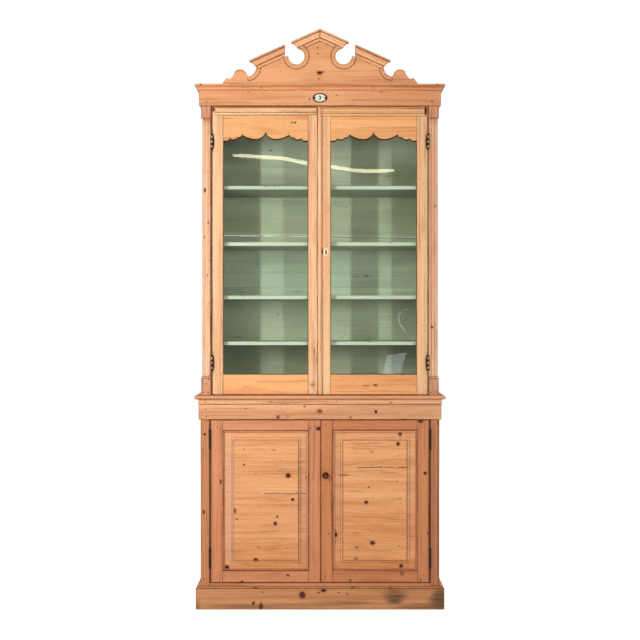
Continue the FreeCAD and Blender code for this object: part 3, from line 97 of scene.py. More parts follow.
class Signal:
    """One output of a material's tree, which can stand in Python sums."""

    def __init__(self, sheet: "ShaderSheet", socket: bpy.types.NodeSocket) -> None:
        """Keeps the tree and the socket."""
        self.sheet = sheet
        self.socket = socket

    def other(self, output: str) -> "Signal":
        """Another output of the same node."""
        return Signal(self.sheet, self.socket.node.outputs[output])

    def _pair(self, operation: str, first: Any, second: Any) -> "Signal":
        """Adds the node that works out one operation on two terms.

        Args:
            operation: The node's name for the operation.
            first: A signal, a number or three numbers.
            second: A signal, a number or three numbers.

        Returns:
            The result.
        """
        wide = False
        for term in (first, second):
            is_wide_signal = isinstance(term, Signal) and term.socket.type in ("VECTOR", "RGBA")
            wide = wide or isinstance(term, tuple) or is_wide_signal
        kind = "ShaderNodeVectorMath" if wide else "ShaderNodeMath"
        return self.sheet.node(kind, {"operation": operation}, {0: first, 1: second})

    def __add__(self, term: Any) -> "Signal":
        """This signal plus a term."""
        return self._pair("ADD", self, term)

    def __radd__(self, term: Any) -> "Signal":
        """A term plus this signal."""
        return self._pair("ADD", term, self)

    def __sub__(self, term: Any) -> "Signal":
        """This signal less a term."""
        return self._pair("SUBTRACT", self, term)

    def __rsub__(self, term: Any) -> "Signal":
        """A term less this signal."""
        return self._pair("SUBTRACT", term, self)

    def __mul__(self, term: Any) -> "Signal":
        """This signal times a term."""
        return self._pair("MULTIPLY", self, term)

    def __truediv__(self, term: Any) -> "Signal":
        """This signal over a term."""
        return self._pair("DIVIDE", self, term)

    def maximum(self, term: Any) -> "Signal":
        """The larger of this signal and a term."""
        return self._pair("MAXIMUM", self, term)

    def size(self) -> "Signal":
        """The distance from zero of a number."""
        return self.sheet.node("ShaderNodeMath", {"operation": "ABSOLUTE"}, {0: self})

    def root(self) -> "Signal":
        """The square root of a number."""
        return self.sheet.node("ShaderNodeMath", {"operation": "SQRT"}, {0: self})

    def turn(self) -> "Signal":
        """The part of a number after its point."""
        return self.sheet.node("ShaderNodeMath", {"operation": "FRACT"}, {0: self})

    def length(self) -> "Signal":
        """The length of a vector."""
        return self.sheet.node("ShaderNodeVectorMath", {"operation": "LENGTH"}, {0: self}, "Value")

    def part(self, axis: str) -> "Signal":
        """One part of a vector, named X, Y or Z."""
        return self.sheet.node("ShaderNodeSeparateXYZ", {}, {0: self}, axis)

    def ease(self, start: float, end: float) -> "Signal":
        """Rises smoothly from 0 to 1 as the signal goes from start to end.

        Args:
            start: Where the result is 0.
            end: Where the result is 1, above or below start.

        Returns:
            The eased number.
        """
        ends = {"Value": self, "From Min": start, "From Max": end}
        return self.sheet.node("ShaderNodeMapRange", {"interpolation_type": "SMOOTHSTEP"}, ends)


@dataclass
class Surface:
    """What a finish shows: its colour, its roughness and its relief."""

    colour: Signal
    roughness: Signal
    height: Signal


class ShaderSheet:
    """The node tree of one new material, or of the surroundings."""

    def __init__(self, name: str, world: bpy.types.World | None = None) -> None:
        """Starts an empty tree.

        Args:
            name: The name of the new material.
            world: The surroundings, where the tree is theirs.
        """
        self.owner = world or bpy.data.materials.new(name)
        self.owner.use_nodes = True
        self.tree = self.owner.node_tree
        self.tree.nodes.clear()
        self.end = "ShaderNodeOutputWorld" if world else "ShaderNodeOutputMaterial"

    def node(
        self,
        kind: str,
        settings: dict[str, Any] | None = None,
        sockets: dict[str | int, Any] | None = None,
        output: str | int = 0,
    ) -> Signal:
        """Adds a node to the tree.

        Args:
            kind: The node's type.
            settings: The node's own settings, which are set first.
            sockets: A value or a signal for each input, by name or number.
            output: The output that is wanted, by name or number.

        Returns:
            That output.
        """
        made = self.tree.nodes.new(kind)
        for key, value in (settings or {}).items():
            setattr(made, key, value)
        for key, value in (sockets or {}).items():
            entry = made.inputs[key]
            if isinstance(value, Signal):
                self.tree.links.new(value.socket, entry)
            elif entry.type == "VECTOR" and not isinstance(value, tuple):
                entry.default_value = (value, value, value)
            else:
                entry.default_value = value
        return Signal(self, made.outputs[output])

    def place(self) -> Signal:
        """Where a point of the piece stands, in metres."""
        return self.node("ShaderNodeTexCoord", output="Object")

    def attribute(self, name: str, output: str) -> Signal:
        """One of the piece's own attributes."""
        return self.node("ShaderNodeAttribute", {"attribute_name": name}, output=output)

    def noise(self, vector: Signal, scale: float, detail: float = 2.0, output: str = "Fac") -> Signal:
        """Soft noise.

        Args:
            vector: Where the noise is read.
            scale: How many lumps go to a unit of the vector.
            detail: How many finer layers are added.
            output: Fac for a number, Color for three.

        Returns:
            Noise from 0 to 1, mostly near 0.5.
        """
        sockets = {"Vector": vector, "Scale": scale, "Detail": detail}
        return self.node("ShaderNodeTexNoise", {"noise_dimensions": "3D"}, sockets, output)

    def strewn(self, vector: Signal) -> tuple[Signal, Signal]:
        """Points strewn at about one to each unit of a vector.

        Args:
            vector: Where the points are looked for.

        Returns:
            How far the nearest point is, and a number of its own from 0 to 1.
        """
        sockets = {"Vector": vector, "Scale": 1.0}
        far = self.node("ShaderNodeTexVoronoi", {"voronoi_dimensions": "3D"}, sockets, "Distance")
        return far, far.other("Color").part("X")

    def blend(self, share: Any, first: Any, second: Any) -> Signal:
        """Mixes two colours.

        Args:
            share: How much of the second colour shows, from 0 to 1.
            first: A colour or a signal.
            second: A colour or a signal.

        Returns:
            The mixed colour.
        """
        settings = {"data_type": "RGBA", "blend_type": "MIX", "clamp_factor": True}
        return self.node("ShaderNodeMix", settings, {0: share, 6: first, 7: second}, 2)

    def bump(self, height: Signal, strength: float, distance: float) -> Signal:
        """Relief on the surface, from a height of 0 to 1 and its real depth in metres."""
        sockets = {"Height": height, "Strength": strength, "Distance": distance}
        return self.node("ShaderNodeBump", {}, sockets)

    def glazed(self, colour: Any, *coats: tuple[Signal, float, float, Any, Colour]) -> Signal:
        """Lays thin coats over a colour.

        Args:
            colour: The colour so far.
            coats: For each coat a signal, where it begins and is full, its share and its tint.

        Returns:
            The colour with the coats.
        """
        for signal, start, full, share, tint in coats:
            colour = self.blend(signal.ease(start, full) * share, colour, paint(tint))
        return colour

    def close(self, shader: Signal) -> bpy.types.Material | bpy.types.World:
        """Sends a shader to the tree's output.

        Args:
            shader: The whole surface.

        Returns:
            What the tree belongs to.
        """
        end = self.tree.nodes.new(self.end)
        self.tree.links.new(shader.socket, end.inputs["Surface"])
        return self.owner

    def principled(self, surface: Surface, relief: float, constants: dict[str, Any]) -> bpy.types.Material:
        """Closes the material with one surface shader.

        Args:
            surface: The colour, roughness and relief.
            relief: The depth of the relief in metres.
            constants: Values that are the same all over the surface.

        Returns:
            The finished material.
        """
        sockets = {
            "Base Color": surface.colour,
            "Roughness": surface.roughness,
            "Normal": self.bump(surface.height, 1.0, relief),
        }
        return self.close(self.node("ShaderNodeBsdfPrincipled", {}, {**sockets, **constants}))


@dataclass(frozen=True)
class Figure:
    """Noise drawn out along a board: lumps to a metre along and across the grain, and where patches show."""

    along: float
    across: float
    detail: float = 2.0
    start: Point = (0.0, 0.0, 0.0)
    seen: Span = (0.0, 1.0)

    def on(self, grain: Signal, output: str = "Fac") -> Signal:
        """The noise at a point of a board.

        Args:
            grain: Where the point lies in its own board.
            output: Fac for a number, Color for three.

        Returns:
            Noise from 0 to 1, mostly near 0.5.
        """
        drawn_out = grain * (self.along, self.across, self.across)
        if any(self.start):
            drawn_out = drawn_out + self.start
        return grain.sheet.noise(drawn_out, 1.0, self.detail, output)

    def patches(self, grain: Signal) -> Signal:
        """How much of a patch shows at a point of a board, from 0 to 1."""
        return self.on(grain).ease(*self.seen)


@dataclass(frozen=True)
class Knot:
    """A knot or dark mark on the front, in millimetres: its place, its half sizes and how dark it is."""

    x: float
    z: float
    wide: float
    tall: float
    dark: float

    def reach(self, place: Signal) -> Signal:
        """How far a point is from the mark's middle: 1 at its edge."""
        scale = (1 / (self.wide * MM), 0.0, 1 / (self.tall * MM))
        return ((place - (self.x * MM, 0.0, self.z * MM)) * scale).length()


@dataclass(frozen=True)
class Stain(Knot):
    """A soft patch of another colour on the front, or of the finish's own dirt where it has none; some stand
    for painted shade or a painted highlight.
    """

    FADE: ClassVar[Span] = (1.3, 0.3)
    colour: Colour | None = None

    def share(self, place: Signal) -> Signal:
        """How much of the patch shows at a point."""
        return self.reach(place).ease(*self.FADE) * self.dark


@dataclass(frozen=True)
class Crack:
    """A split that runs level across a board, in millimetres, from one side to the other."""

    DRIFT: ClassVar[float] = 0.012
    DRIFT_LUMPS: ClassVar[Point] = (9.0, 0.0, 0.0)
    BREAK_LUMPS: ClassVar[Point] = (24.0, 0.0, 8.0)
    UNBROKEN: ClassVar[Span] = (0.32, 0.5)
    ENDS: ClassVar[Span] = (1.0, 0.85)
    CORE: ClassVar[float] = 0.2
    left: float
    right: float
    z: float
    width: float
    dark: float

    def share(self, place: Signal) -> Signal:
        """How dark the split is at a point: it wanders, and breaks off here and there.

        Args:
            place: Where the point stands.

        Returns:
            A number from 0 to 1.
        """
        sheet = place.sheet
        drift = sheet.noise(place * self.DRIFT_LUMPS, 1.0, 3.0) - 0.5
        off = (place.part("Z") - self.z * MM + drift * self.DRIFT).size()
        middle = (self.left + self.right) / 2
        along = (place.part("X") - middle * MM).size() / ((self.right - self.left) / 2 * MM)
        broken = sheet.noise(place * self.BREAK_LUMPS, 1.0, 3.0).ease(*self.UNBROKEN)
        line = off.ease(self.width * MM, self.width * self.CORE * MM) * along.ease(*self.ENDS)
        return line * broken * self.dark


class DirtAndShadeLine:
    """A dark line on the front: dirt that gathers there, or painted shade where parts meet or overhang; it
    has the finish's own dark colour.
    """

    CORE: ClassVar[float] = 0.15
    STOP: ClassVar[float] = 1.0
    width: float
    dark: float
    colour = None

    def off(self, place: Signal) -> Signal:
        """How far a point is from the line, in metres."""
        raise NotImplementedError

    def share(self, place: Signal) -> Signal:
        """How dark the line is at a point."""
        return self.off(place).ease(self.width * MM, self.width * self.CORE * MM) * self.dark


@dataclass(frozen=True)
class Groove(DirtAndShadeLine):
    """Dirt or painted shade along the sides of a rectangle, in millimetres."""

    left: float
    right: float
    bottom: float
    top: float
    width: float
    dark: float

    def off(self, place: Signal) -> Signal:
        """How far a point is from the line.

        Args:
            place: Where the point stands.

        Returns:
            The distance in metres.
        """
        half_wide = (self.right - self.left) / 2 * MM
        half_tall = (self.top - self.bottom) / 2 * MM
        beside = (place.part("X") - (self.left * MM + half_wide)).size() - half_wide
        above = (place.part("Z") - (self.bottom * MM + half_tall)).size() - half_tall
        return beside.maximum(above).size()


@dataclass(frozen=True)
class Ring(DirtAndShadeLine):
    """Painted shade along a circle on each side of the middle, in millimetres, and how far out and how low it
    goes.
    """

    x: float
    z: float
    radius: float
    width: float
    dark: float
    within: float = 600.0
    above: float = 0.0

    def off(self, place: Signal) -> Signal:
        """How far a point is from the line.

        Args:
            place: Where the point stands.

        Returns:
            The distance in metres.
        """
        beside = place.part("X").size() - self.x * MM
        level = place.part("Z") - self.z * MM
        far = (beside * beside + level * level).root()
        return (far - self.radius * MM).size()

    def share(self, place: Signal) -> Signal:
        """How dark the line is at a point.

        Args:
            place: Where the point stands.

        Returns:
            A number from 0 to 1.
        """
        near = place.part("X").size().ease((self.within + self.STOP) * MM, self.within * MM)
        high = place.part("Z").ease((self.above - self.STOP) * MM, self.above * MM)
        return super().share(place) * near * high


@dataclass(frozen=True)
class Rake(DirtAndShadeLine):
    """Painted shade along a line under the two slopes of the pediment, in millimetres, over a span from the
    middle.
    """

    below: float
    start: float
    end: float
    width: float
    dark: float
    apex: float = 2431.0
    pitch: float = math.radians(24)

    def off(self, place: Signal) -> Signal:
        """How far a point is from the line, in metres."""
        drop = (self.apex * MM - place.part("Z")) * math.cos(self.pitch)
        return (drop - place.part("X").size() * math.sin(self.pitch) - self.below * MM).size()

    def share(self, place: Signal) -> Signal:
        """How dark the line is at a point.

        Args:
            place: Where the point stands.

        Returns:
            A number from 0 to 1.
        """
        across = place.part("X").size()
        begun = across.ease((self.start - self.STOP) * MM, self.start * MM)
        ended = across.ease(self.end * MM, (self.end + self.STOP) * MM)
        return super().share(place) * begun * (1 - ended)


@dataclass(frozen=True)
class Finish:
    """A finish that a piece can take, with its relief in metres and what is the same all over it."""

    name: str
    relief: ClassVar[float] = 0.0004
    constants: ClassVar[dict[str, float]] = {}

    def layers(self, sheet: ShaderSheet) -> Surface:
        """The finish's colour, roughness and relief in a material's tree."""
        raise NotImplementedError

    def make(self) -> bpy.types.Material:
        """Makes the finish's material."""
        sheet = ShaderSheet(self.name)
        return sheet.principled(self.layers(sheet), self.relief, self.constants)

    def material(self) -> bpy.types.Material:
        """The finish's material, made the first time that it is asked for."""
        return bpy.data.materials.get(self.name) or self.make()


@dataclass(frozen=True)
class Pine(Finish):
    """Waxed old pine with growth rings, knots, cracks, stains, dirt and painted shade in its joints, and
    arrises darkened by dirt and painted shade.
    """

    WANDER: ClassVar[Figure] = Figure(1.1, 6.0, 3.0)
    RIPPLE: ClassVar[Figure] = Figure(5.0, 45.0)
    BEND: ClassVar[Figure] = Figure(4.5, 9.0, 2.0, (8.2, 3.1, 0.9))
    CLOUD: ClassVar[Figure] = Figure(1.1, 7.0, 2.0, (3.7, 1.9, 0.4), (0.25, 0.75))
    FIBRE: ClassVar[Figure] = Figure(11.0, 620.0)
    STREAK: ClassVar[Figure] = Figure(6.0, 110.0, 3.0, seen=(0.3, 0.7))
    RUBBED: ClassVar[Figure] = Figure(2.4, 15.0, 3.0, (1.7, 4.4, 6.2), (0.5, 0.72))
    HANDLED: ClassVar[Figure] = Figure(5.0, 26.0, 4.0, (2.1, 8.3, 5.5), (0.54, 0.72))
    PALER: ClassVar[Point] = (1.1, 1.14, 1.2)
    DARKER: ClassVar[Point] = (0.84, 0.76, 0.68)
    PITS: ClassVar[Point] = (45.0, 110.0, 110.0)
    PIT_EDGE: ClassVar[Span] = (0.17, 0.09)
    PIT_KEPT: ClassVar[Span] = (0.60, 0.62)
    STREWN: ClassVar[Point] = (5.4, 5.4, 0.15)
    STREWN_RADIUS: ClassVar[float] = 7.0
    STREWN_KEPT: ClassVar[Span] = (0.70, 0.74)
    STREWN_HEART: ClassVar[Span] = (1.15, 0.75)
    STREWN_RING: ClassVar[Span] = (2.8, 0.9)
    HEART: ClassVar[Span] = (1.2, 0.9)
    HEART_DARK: ClassVar[float] = 1.2
    RING: ClassVar[Span] = (2.0, 1.0)
    RAGGED: ClassVar[float] = 7.5 * MM
    RAGGED_LUMPS: ClassVar[float] = 170.0
    FACING: ClassVar[Span] = (-0.05, -0.3)
    FRONT_DEPTH: ClassVar[float] = 8 * MM
    WANDER_DEPTH: ClassVar[float] = 22 * MM
    RIPPLE_DEPTH: ClassVar[float] = 3.5 * MM
    KNOT_SWELL: ClassVar[float] = 11 * MM
    YEAR_LUMPS: ClassVar[float] = 55.0
    YEAR_SHIFT: ClassVar[float] = 2.6
    LATE_RISE: ClassVar[Span] = (0.2, 0.86)
    LATE_FALL: ClassVar[Span] = (0.88, 1.0)
    WORN_LUMPS: ClassVar[float] = 42.0
    WORN: ClassVar[Span] = (0.3, 0.7)
    constants: ClassVar[dict[str, float]] = {
        "Specular IOR Level": 0.3, "Coat Weight": 0.05, "Coat Roughness": 0.35
    }

    early: Colour = (240, 178, 126)
    late: Colour = (206, 131, 82)
    ruddy: Colour = (216, 138, 90)
    grime_and_shade: Colour = (104, 48, 18)
    heart: Colour = (58, 24, 9)
    halo: Colour = (164, 82, 38)
    ring_gap: float = 0.0052
    smear: Colour = (104, 78, 50)
    knots: tuple[Knot, ...] = ()
    cracks: tuple[Crack, ...] = ()
    stains: tuple[Stain, ...] = ()
    grooves: tuple[DirtAndShadeLine, ...] = ()
    scattered: float = 0.0
    pitted: float = 0.75
    contrast: float = 0.7
    run: float = 0.9
    sway: float = 0.012
    veined: float = 0.46
    edge_dirt_and_shade: float = 0.5
    front_ends: float = -0.128

    def _marks(
        self, sheet: ShaderSheet, place: Signal, grain: Signal, front: Signal
    ) -> tuple[Signal, Signal]:
        """The knots that belong to known places, and those strewn over the other boards.

        Args:
            sheet: The material's tree.
            place: Where a point stands, with a ragged edge.
            grain: Where it lies in its own board.
            front: 1 at the front of the bookcase and 0 behind it.

        Returns:
            The dark hearts and the paler rings round them.
        """
        far, lot = sheet.strewn(grain * self.STREWN)
        chosen = lot.ease(*self.STREWN_KEPT) * self.scattered
        reach = far / (self.STREWN[0] * self.STREWN_RADIUS * MM)
        heart = reach.ease(*self.STREWN_HEART) * chosen
        ring = reach.ease(*self.STREWN_RING) * chosen
        for knot in self.knots:
            reach = knot.reach(place)
            heart = heart.maximum(reach.ease(*self.HEART) * min(1.0, knot.dark * self.HEART_DARK) * front)
            ring = ring.maximum(reach.ease(*self.RING) * knot.dark * front)
        return heart, ring

    def _laid(
        self, marks: tuple[Any, ...], place: Signal, streaks: Signal, colour: Signal, tint: Colour
    ) -> Signal:
        """Lays stains, dirt or painted shade over a colour.

        Args:
            marks: The stains, or the lines of dirt and painted shade.
            place: Where a point stands.
            streaks: How well dirt and painted shade hold at a point.
            colour: The colour so far.
            tint: The colour of the marks that have none.

        Returns:
            The colour with the marks.
        """
        for mark in marks:
            colour = place.sheet.blend(mark.share(place) * streaks, colour, paint(mark.colour or tint))
        return colour

    def _wear(self, sheet: ShaderSheet, grain: Signal, colour: Signal) -> Signal:
        """Makes a colour paler and darker in patches, with small dents and worm holes.

        Args:
            sheet: The material's tree.
            grain: Where a point lies in its own board.
            colour: The colour so far.

        Returns:
            The worn colour.
        """
        rubbed = self.RUBBED.patches(grain)
        handled = self.HANDLED.patches(grain)
        colour = sheet.blend(rubbed * 0.6, colour, colour * self.PALER)
        colour = sheet.blend(handled * 0.75, colour, colour * self.DARKER)
        far, lot = sheet.strewn(grain * self.PITS)
        pit = far.ease(*self.PIT_EDGE) * lot.ease(*self.PIT_KEPT)
        return sheet.blend(pit * self.pitted, colour, paint(self.grime_and_shade))

    def layers(self, sheet: ShaderSheet) -> Surface:
        """Works out the finish.

        Args:
            sheet: The material's tree.

        Returns:
            The colour, the roughness and the relief.
        """
        grain = sheet.attribute("grain", "Vector")
        tone = sheet.attribute("tone", "Fac")
        arris = sheet.attribute("arris", "Fac")
        place = sheet.place()
        torn = sheet.noise(place, self.RAGGED_LUMPS, 3.0, "Color") - MID_NOISE
        ragged = place + torn * self.RAGGED
        facing = sheet.node("ShaderNodeTexCoord", output="Normal").part("Y").ease(*self.FACING)
        front = place.part("Y").ease(self.front_ends, self.front_ends - self.FRONT_DEPTH) * facing
        heart, ring = self._marks(sheet, ragged, grain, front)
        for crack in self.cracks:
            heart = heart.maximum(crack.share(ragged))
        wander = self.WANDER.on(grain) - 0.5
        ripple = self.RIPPLE.on(grain) - 0.5
        radius = (grain * ACROSS_GRAIN).length()
        years = sheet.noise(grain * ACROSS_GRAIN, self.YEAR_LUMPS, 2.0) - 0.5
        radius = radius + wander * self.WANDER_DEPTH + ripple * self.RIPPLE_DEPTH + ring * self.KNOT_SWELL
        phase = (radius / self.ring_gap + years * self.YEAR_SHIFT).turn()
        line = phase.ease(*self.LATE_RISE) - phase.ease(*self.LATE_FALL)
        bent = grain + (self.BEND.on(grain, "Color") - MID_NOISE) * (0.0, self.sway, self.sway)
        cloud = self.CLOUD.on(grain)
        fibre = self.FIBRE.on(bent)
        band = Figure(self.run, 30.0, 3.0, (5.1, 0.7, 2.3)).on(bent)
        vein = Figure(self.run * 1.9, 105.0, 2.0, (0.4, 6.1, 1.2)).on(bent)
        seen = cloud.ease(*self.CLOUD.seen) * self.contrast
        colour = sheet.blend(line * seen, paint(self.early), paint(self.late))
        colour = sheet.glazed(
            colour, (cloud, 0.45, 0.85, 0.3, self.ruddy), (band, 0.45, 0.68, 0.55, self.ruddy),
            (vein, 0.57, 0.7, self.veined, self.halo),
        )
        colour = colour * (1.17 + fibre * 0.16 + tone * 0.05 - band * 0.4)
        colour = self._wear(sheet, grain, colour)
        streaks = front * (0.5 + self.STREAK.patches(grain) * 0.5)
        colour = self._laid(self.stains, ragged, streaks, colour, self.smear)
        colour = sheet.blend(ring * 0.68, colour, paint(self.halo))
        colour = sheet.blend(heart, colour, paint(self.heart))
        # The grooves lay dirt and painted shade where parts meet or overhang.
        colour = self._laid(self.grooves, ragged, streaks, colour, self.grime_and_shade)
        # The worn noise and the arris darken the rounded edges: dirt, and painted shade along the edges.
        worn = sheet.noise(place, self.WORN_LUMPS, 3.0).ease(*self.WORN)
        colour = sheet.blend(arris * (self.edge_dirt_and_shade + worn * 0.3), colour, paint(self.grime_and_shade))
        roughness = 0.5 - line * 0.08 + fibre * 0.12 + heart * 0.1
        height = 0.4 + line * 0.3 + fibre * 0.25 - heart * 0.35
        return Surface(colour, roughness, height)


@dataclass(frozen=True)
class GreenPaint(Finish):
    """Thin sage paint, brushed along the boards, rubbed and grimy at the edges; it can carry patches of
    painted light and shade, painted shade on its undersides, and open joints drawn with painted light and a
    painted shadow.
    """

    BRUSH: ClassVar[Figure] = Figure(2.4, 130.0, 3.0)
    CLOUD: ClassVar[Figure] = Figure(1.6, 11.0, 3.0)
    WANDER: ClassVar[Figure] = Figure(1.6, 9.0, 2.0, (7.3, 2.2, 0.0))
    SHADE: ClassVar[Figure] = Figure(2.0, 24.0, 4.0, (4.2, 0.6, 9.1), (0.46, 0.68))
    DARKER: ClassVar[Point] = (0.8, 0.79, 0.74)
    WANDER_DEPTH: ClassVar[float] = 30 * MM
    RING_GAP: ClassVar[float] = 8 * MM
    LATE_RISE: ClassVar[Span] = (0.3, 0.9)
    LATE_FALL: ClassVar[Span] = (0.92, 1.0)
    SCUFF_LUMPS: ClassVar[float] = 24.0
    SCUFFED: ClassVar[Span] = (0.66, 0.8)
    CHIP: ClassVar[Span] = (1.5, 0.7)
    UNDERSIDE_SHADE_FACING: ClassVar[Span] = (-0.3, -0.8)
    SHADE_NEAR_ENDS: ClassVar[Span] = (0.18, 0.42)
    SLOPE: ClassVar[float] = 0.018
    SHADOW_BELOW: ClassVar[float] = 1.6
    CORE: ClassVar[float] = 0.4
    JOINT_ENDS: ClassVar[Span] = (1.0, 0.97)
    relief: ClassVar[float] = 0.0005
    constants: ClassVar[dict[str, float]] = {"Specular IOR Level": 0.35}

    coat: Colour = (210, 218, 195)
    thin: Colour = (184, 187, 153)
    chalk: Colour = (226, 237, 218)
    grime_and_shade: Colour = (70, 70, 46)
    bare_wood_and_light: Colour = (255, 250, 236)
    seams: tuple[Crack, ...] = ()
    # Patches of painted light and painted shade laid on the paint.
    patches: tuple[Stain, ...] = ()
    cracks: tuple[Crack, ...] = ()
    knots: tuple[Knot, ...] = ()
    # How much painted shade darkens the undersides.
    under: float = 0.0

    def layers(self, sheet: ShaderSheet) -> Surface:
        """Works out the finish.

        Args:
            sheet: The material's tree.

        Returns:
            The colour, the roughness and the relief.
        """
        grain = sheet.attribute("grain", "Vector")
        tone = sheet.attribute("tone", "Fac")
        arris = sheet.attribute("arris", "Fac")
        place = sheet.place()
        brush = self.BRUSH.on(grain)
        wander = self.WANDER.on(grain) - 0.5
        rings = (((grain * ACROSS_GRAIN).length() + wander * self.WANDER_DEPTH) / self.RING_GAP).turn()
        figure = rings.ease(*self.LATE_RISE) - rings.ease(*self.LATE_FALL)
        colour = sheet.glazed(paint(self.coat), (self.CLOUD.on(grain), 0.35, 0.7, 0.7, self.thin))
        colour = sheet.blend(figure * 0.4, colour, paint(self.thin))
        colour = sheet.blend(self.SHADE.patches(grain) * 0.75, colour, colour * self.DARKER)
        colour = sheet.glazed(
            colour, (brush, 0.5, 0.85, 0.5, self.chalk), (brush, 0.42, 0.24, 0.14, self.grime_and_shade)
        )
        colour = colour * (1.03 + brush * 0.06 + tone * 0.03)
        scuff = sheet.noise(place, self.SCUFF_LUMPS, 4.0).ease(*self.SCUFFED)
        colour = sheet.blend(scuff * 0.25, colour, paint(self.grime_and_shade))
        colour = sheet.blend(arris * (0.25 + scuff * 0.4), colour, paint(self.grime_and_shade))
        # The patches lay painted light and painted shade on the paint.
        for patch in self.patches:
            colour = sheet.blend(patch.share(place) * (0.6 + brush * 0.6), colour, paint(patch.colour))
        for knot in self.knots:
            chip = knot.reach(place).ease(*self.CHIP) * knot.dark
            colour = sheet.blend(chip, colour, paint(self.grime_and_shade))
        for crack in self.cracks:
            colour = sheet.blend(crack.share(place), colour, paint(self.grime_and_shade))
        colour = self._open_joints_with_light(sheet, place, colour)
        # Painted shade on the undersides, darker towards their ends.
        if self.under:
            down = sheet.node("ShaderNodeNewGeometry", output="Normal").part("Z").ease(*self.UNDERSIDE_SHADE_FACING)
            ends = place.part("X").size().ease(*self.SHADE_NEAR_ENDS)
            colour = sheet.blend(down * (self.under + ends * 0.2), colour, paint(self.grime_and_shade))
        roughness = 0.55 + brush * 0.2
        return Surface(colour, roughness, brush * 0.6 + figure * 0.3)

    def _open_joints_with_light(self, sheet: ShaderSheet, place: Signal, colour: Signal) -> Signal:
        """Draws the joints between boards where the paint has parted: a pale line of bare wood and painted
        light through the gap, with a painted shadow line under it.

        Args:
            sheet: The material's tree.
            place: Where a point stands.
            colour: The colour so far.

        Returns:
            The colour with the joints.
        """
        for seam in self.seams:
            middle, half = (seam.left + seam.right) / 2 * MM, (seam.right - seam.left) / 2 * MM
            along = ((place.part("X") - middle).size() / half).ease(*self.JOINT_ENDS)
            above = place.part("Z") + place.part("X") * self.SLOPE - seam.z * MM
            edge = seam.width * MM, seam.width * self.CORE * MM
            dark = (above + seam.width * self.SHADOW_BELOW * MM).size().ease(*edge)
            pale = above.size().ease(*edge)
            colour = sheet.blend(dark * along * seam.dark * 0.6, colour, paint(self.grime_and_shade))
            colour = sheet.blend(pale * along * seam.dark, colour, paint(self.bare_wood_and_light))
        return colour


class Side(Enum):
    """Which way a board's painted face looks."""

    INWARD = "towards the middle of the case"
    DOWN = "down"
    FORWARD = "towards the doors"


@dataclass(frozen=True)
class PaintedInside(Finish):
    """Pine outside and green paint on the face that looks into the case."""

    constants: ClassVar[dict[str, float]] = {"Specular IOR Level": 0.4}
    EDGE: ClassVar[float] = 0.5 * MM
    pine: Pine
    green: GreenPaint
    side: Side
    limit: float

    def layers(self, sheet: ShaderSheet) -> Surface:
        """Works out the finish.

        Args:
            sheet: The material's tree.

        Returns:
            The colour, the roughness and the relief.
        """
        outer = self.pine.layers(sheet)
        inner = self.green.layers(sheet)
        place = sheet.place()
        axis = {Side.INWARD: "X", Side.DOWN: "Z", Side.FORWARD: "Y"}[self.side]
        level = place.part(axis).size() if self.side is Side.INWARD else place.part(axis)
        inside = level.ease(self.limit + self.EDGE, self.limit)
        colour = sheet.blend(inside, outer.colour, inner.colour)
        roughness = outer.roughness + (inner.roughness - outer.roughness) * inside
        height = outer.height + (inner.height - outer.height) * inside
        return Surface(colour, roughness, height)


@dataclass(frozen=True)
class OldGlass(Finish):
    """Clear drawn glass whose surface waves a little, with small seeds in it."""

    SWELL: ClassVar[Point] = (2.3, 0.0, 3.4)
    SEED_LUMPS: ClassVar[float] = 90.0
    SEEDS: ClassVar[Span] = (0.74, 0.82)
    SEED_SHINE: ClassVar[float] = 0.03
    POLISH: ClassVar[float] = 0.012
    tint: Colour = (251, 254, 251)
    wave: float = 0.00003
    bend: float = 1.52

    def make(self) -> bpy.types.Material:
        """Makes the finish's material.

        Returns:
            The new material.
        """
        sheet = ShaderSheet(self.name)
        place = sheet.place()
        swell = sheet.noise(place * self.SWELL, 1.0, 1.0)
        normal = sheet.bump(swell, 1.0, self.wave)
        behind = sheet.node("ShaderNodeNewGeometry", output="Backfacing")
        edge = sheet.node("ShaderNodeFresnel", {}, {"IOR": self.bend, "Normal": normal}) * (1.0 - behind)
        seeds = sheet.noise(place, self.SEED_LUMPS, 3.0).ease(*self.SEEDS)
        clear = sheet.node("ShaderNodeBsdfTransparent", {}, {"Color": paint(self.tint)})
        gloss = {"Color": WHITE, "Roughness": self.POLISH, "Normal": normal}
        shine = sheet.node("ShaderNodeBsdfAnisotropic", {}, gloss)
        share = edge + seeds * self.SEED_SHINE
        return sheet.close(sheet.node("ShaderNodeMixShader", {}, {0: share, 1: clear, 2: shine}))


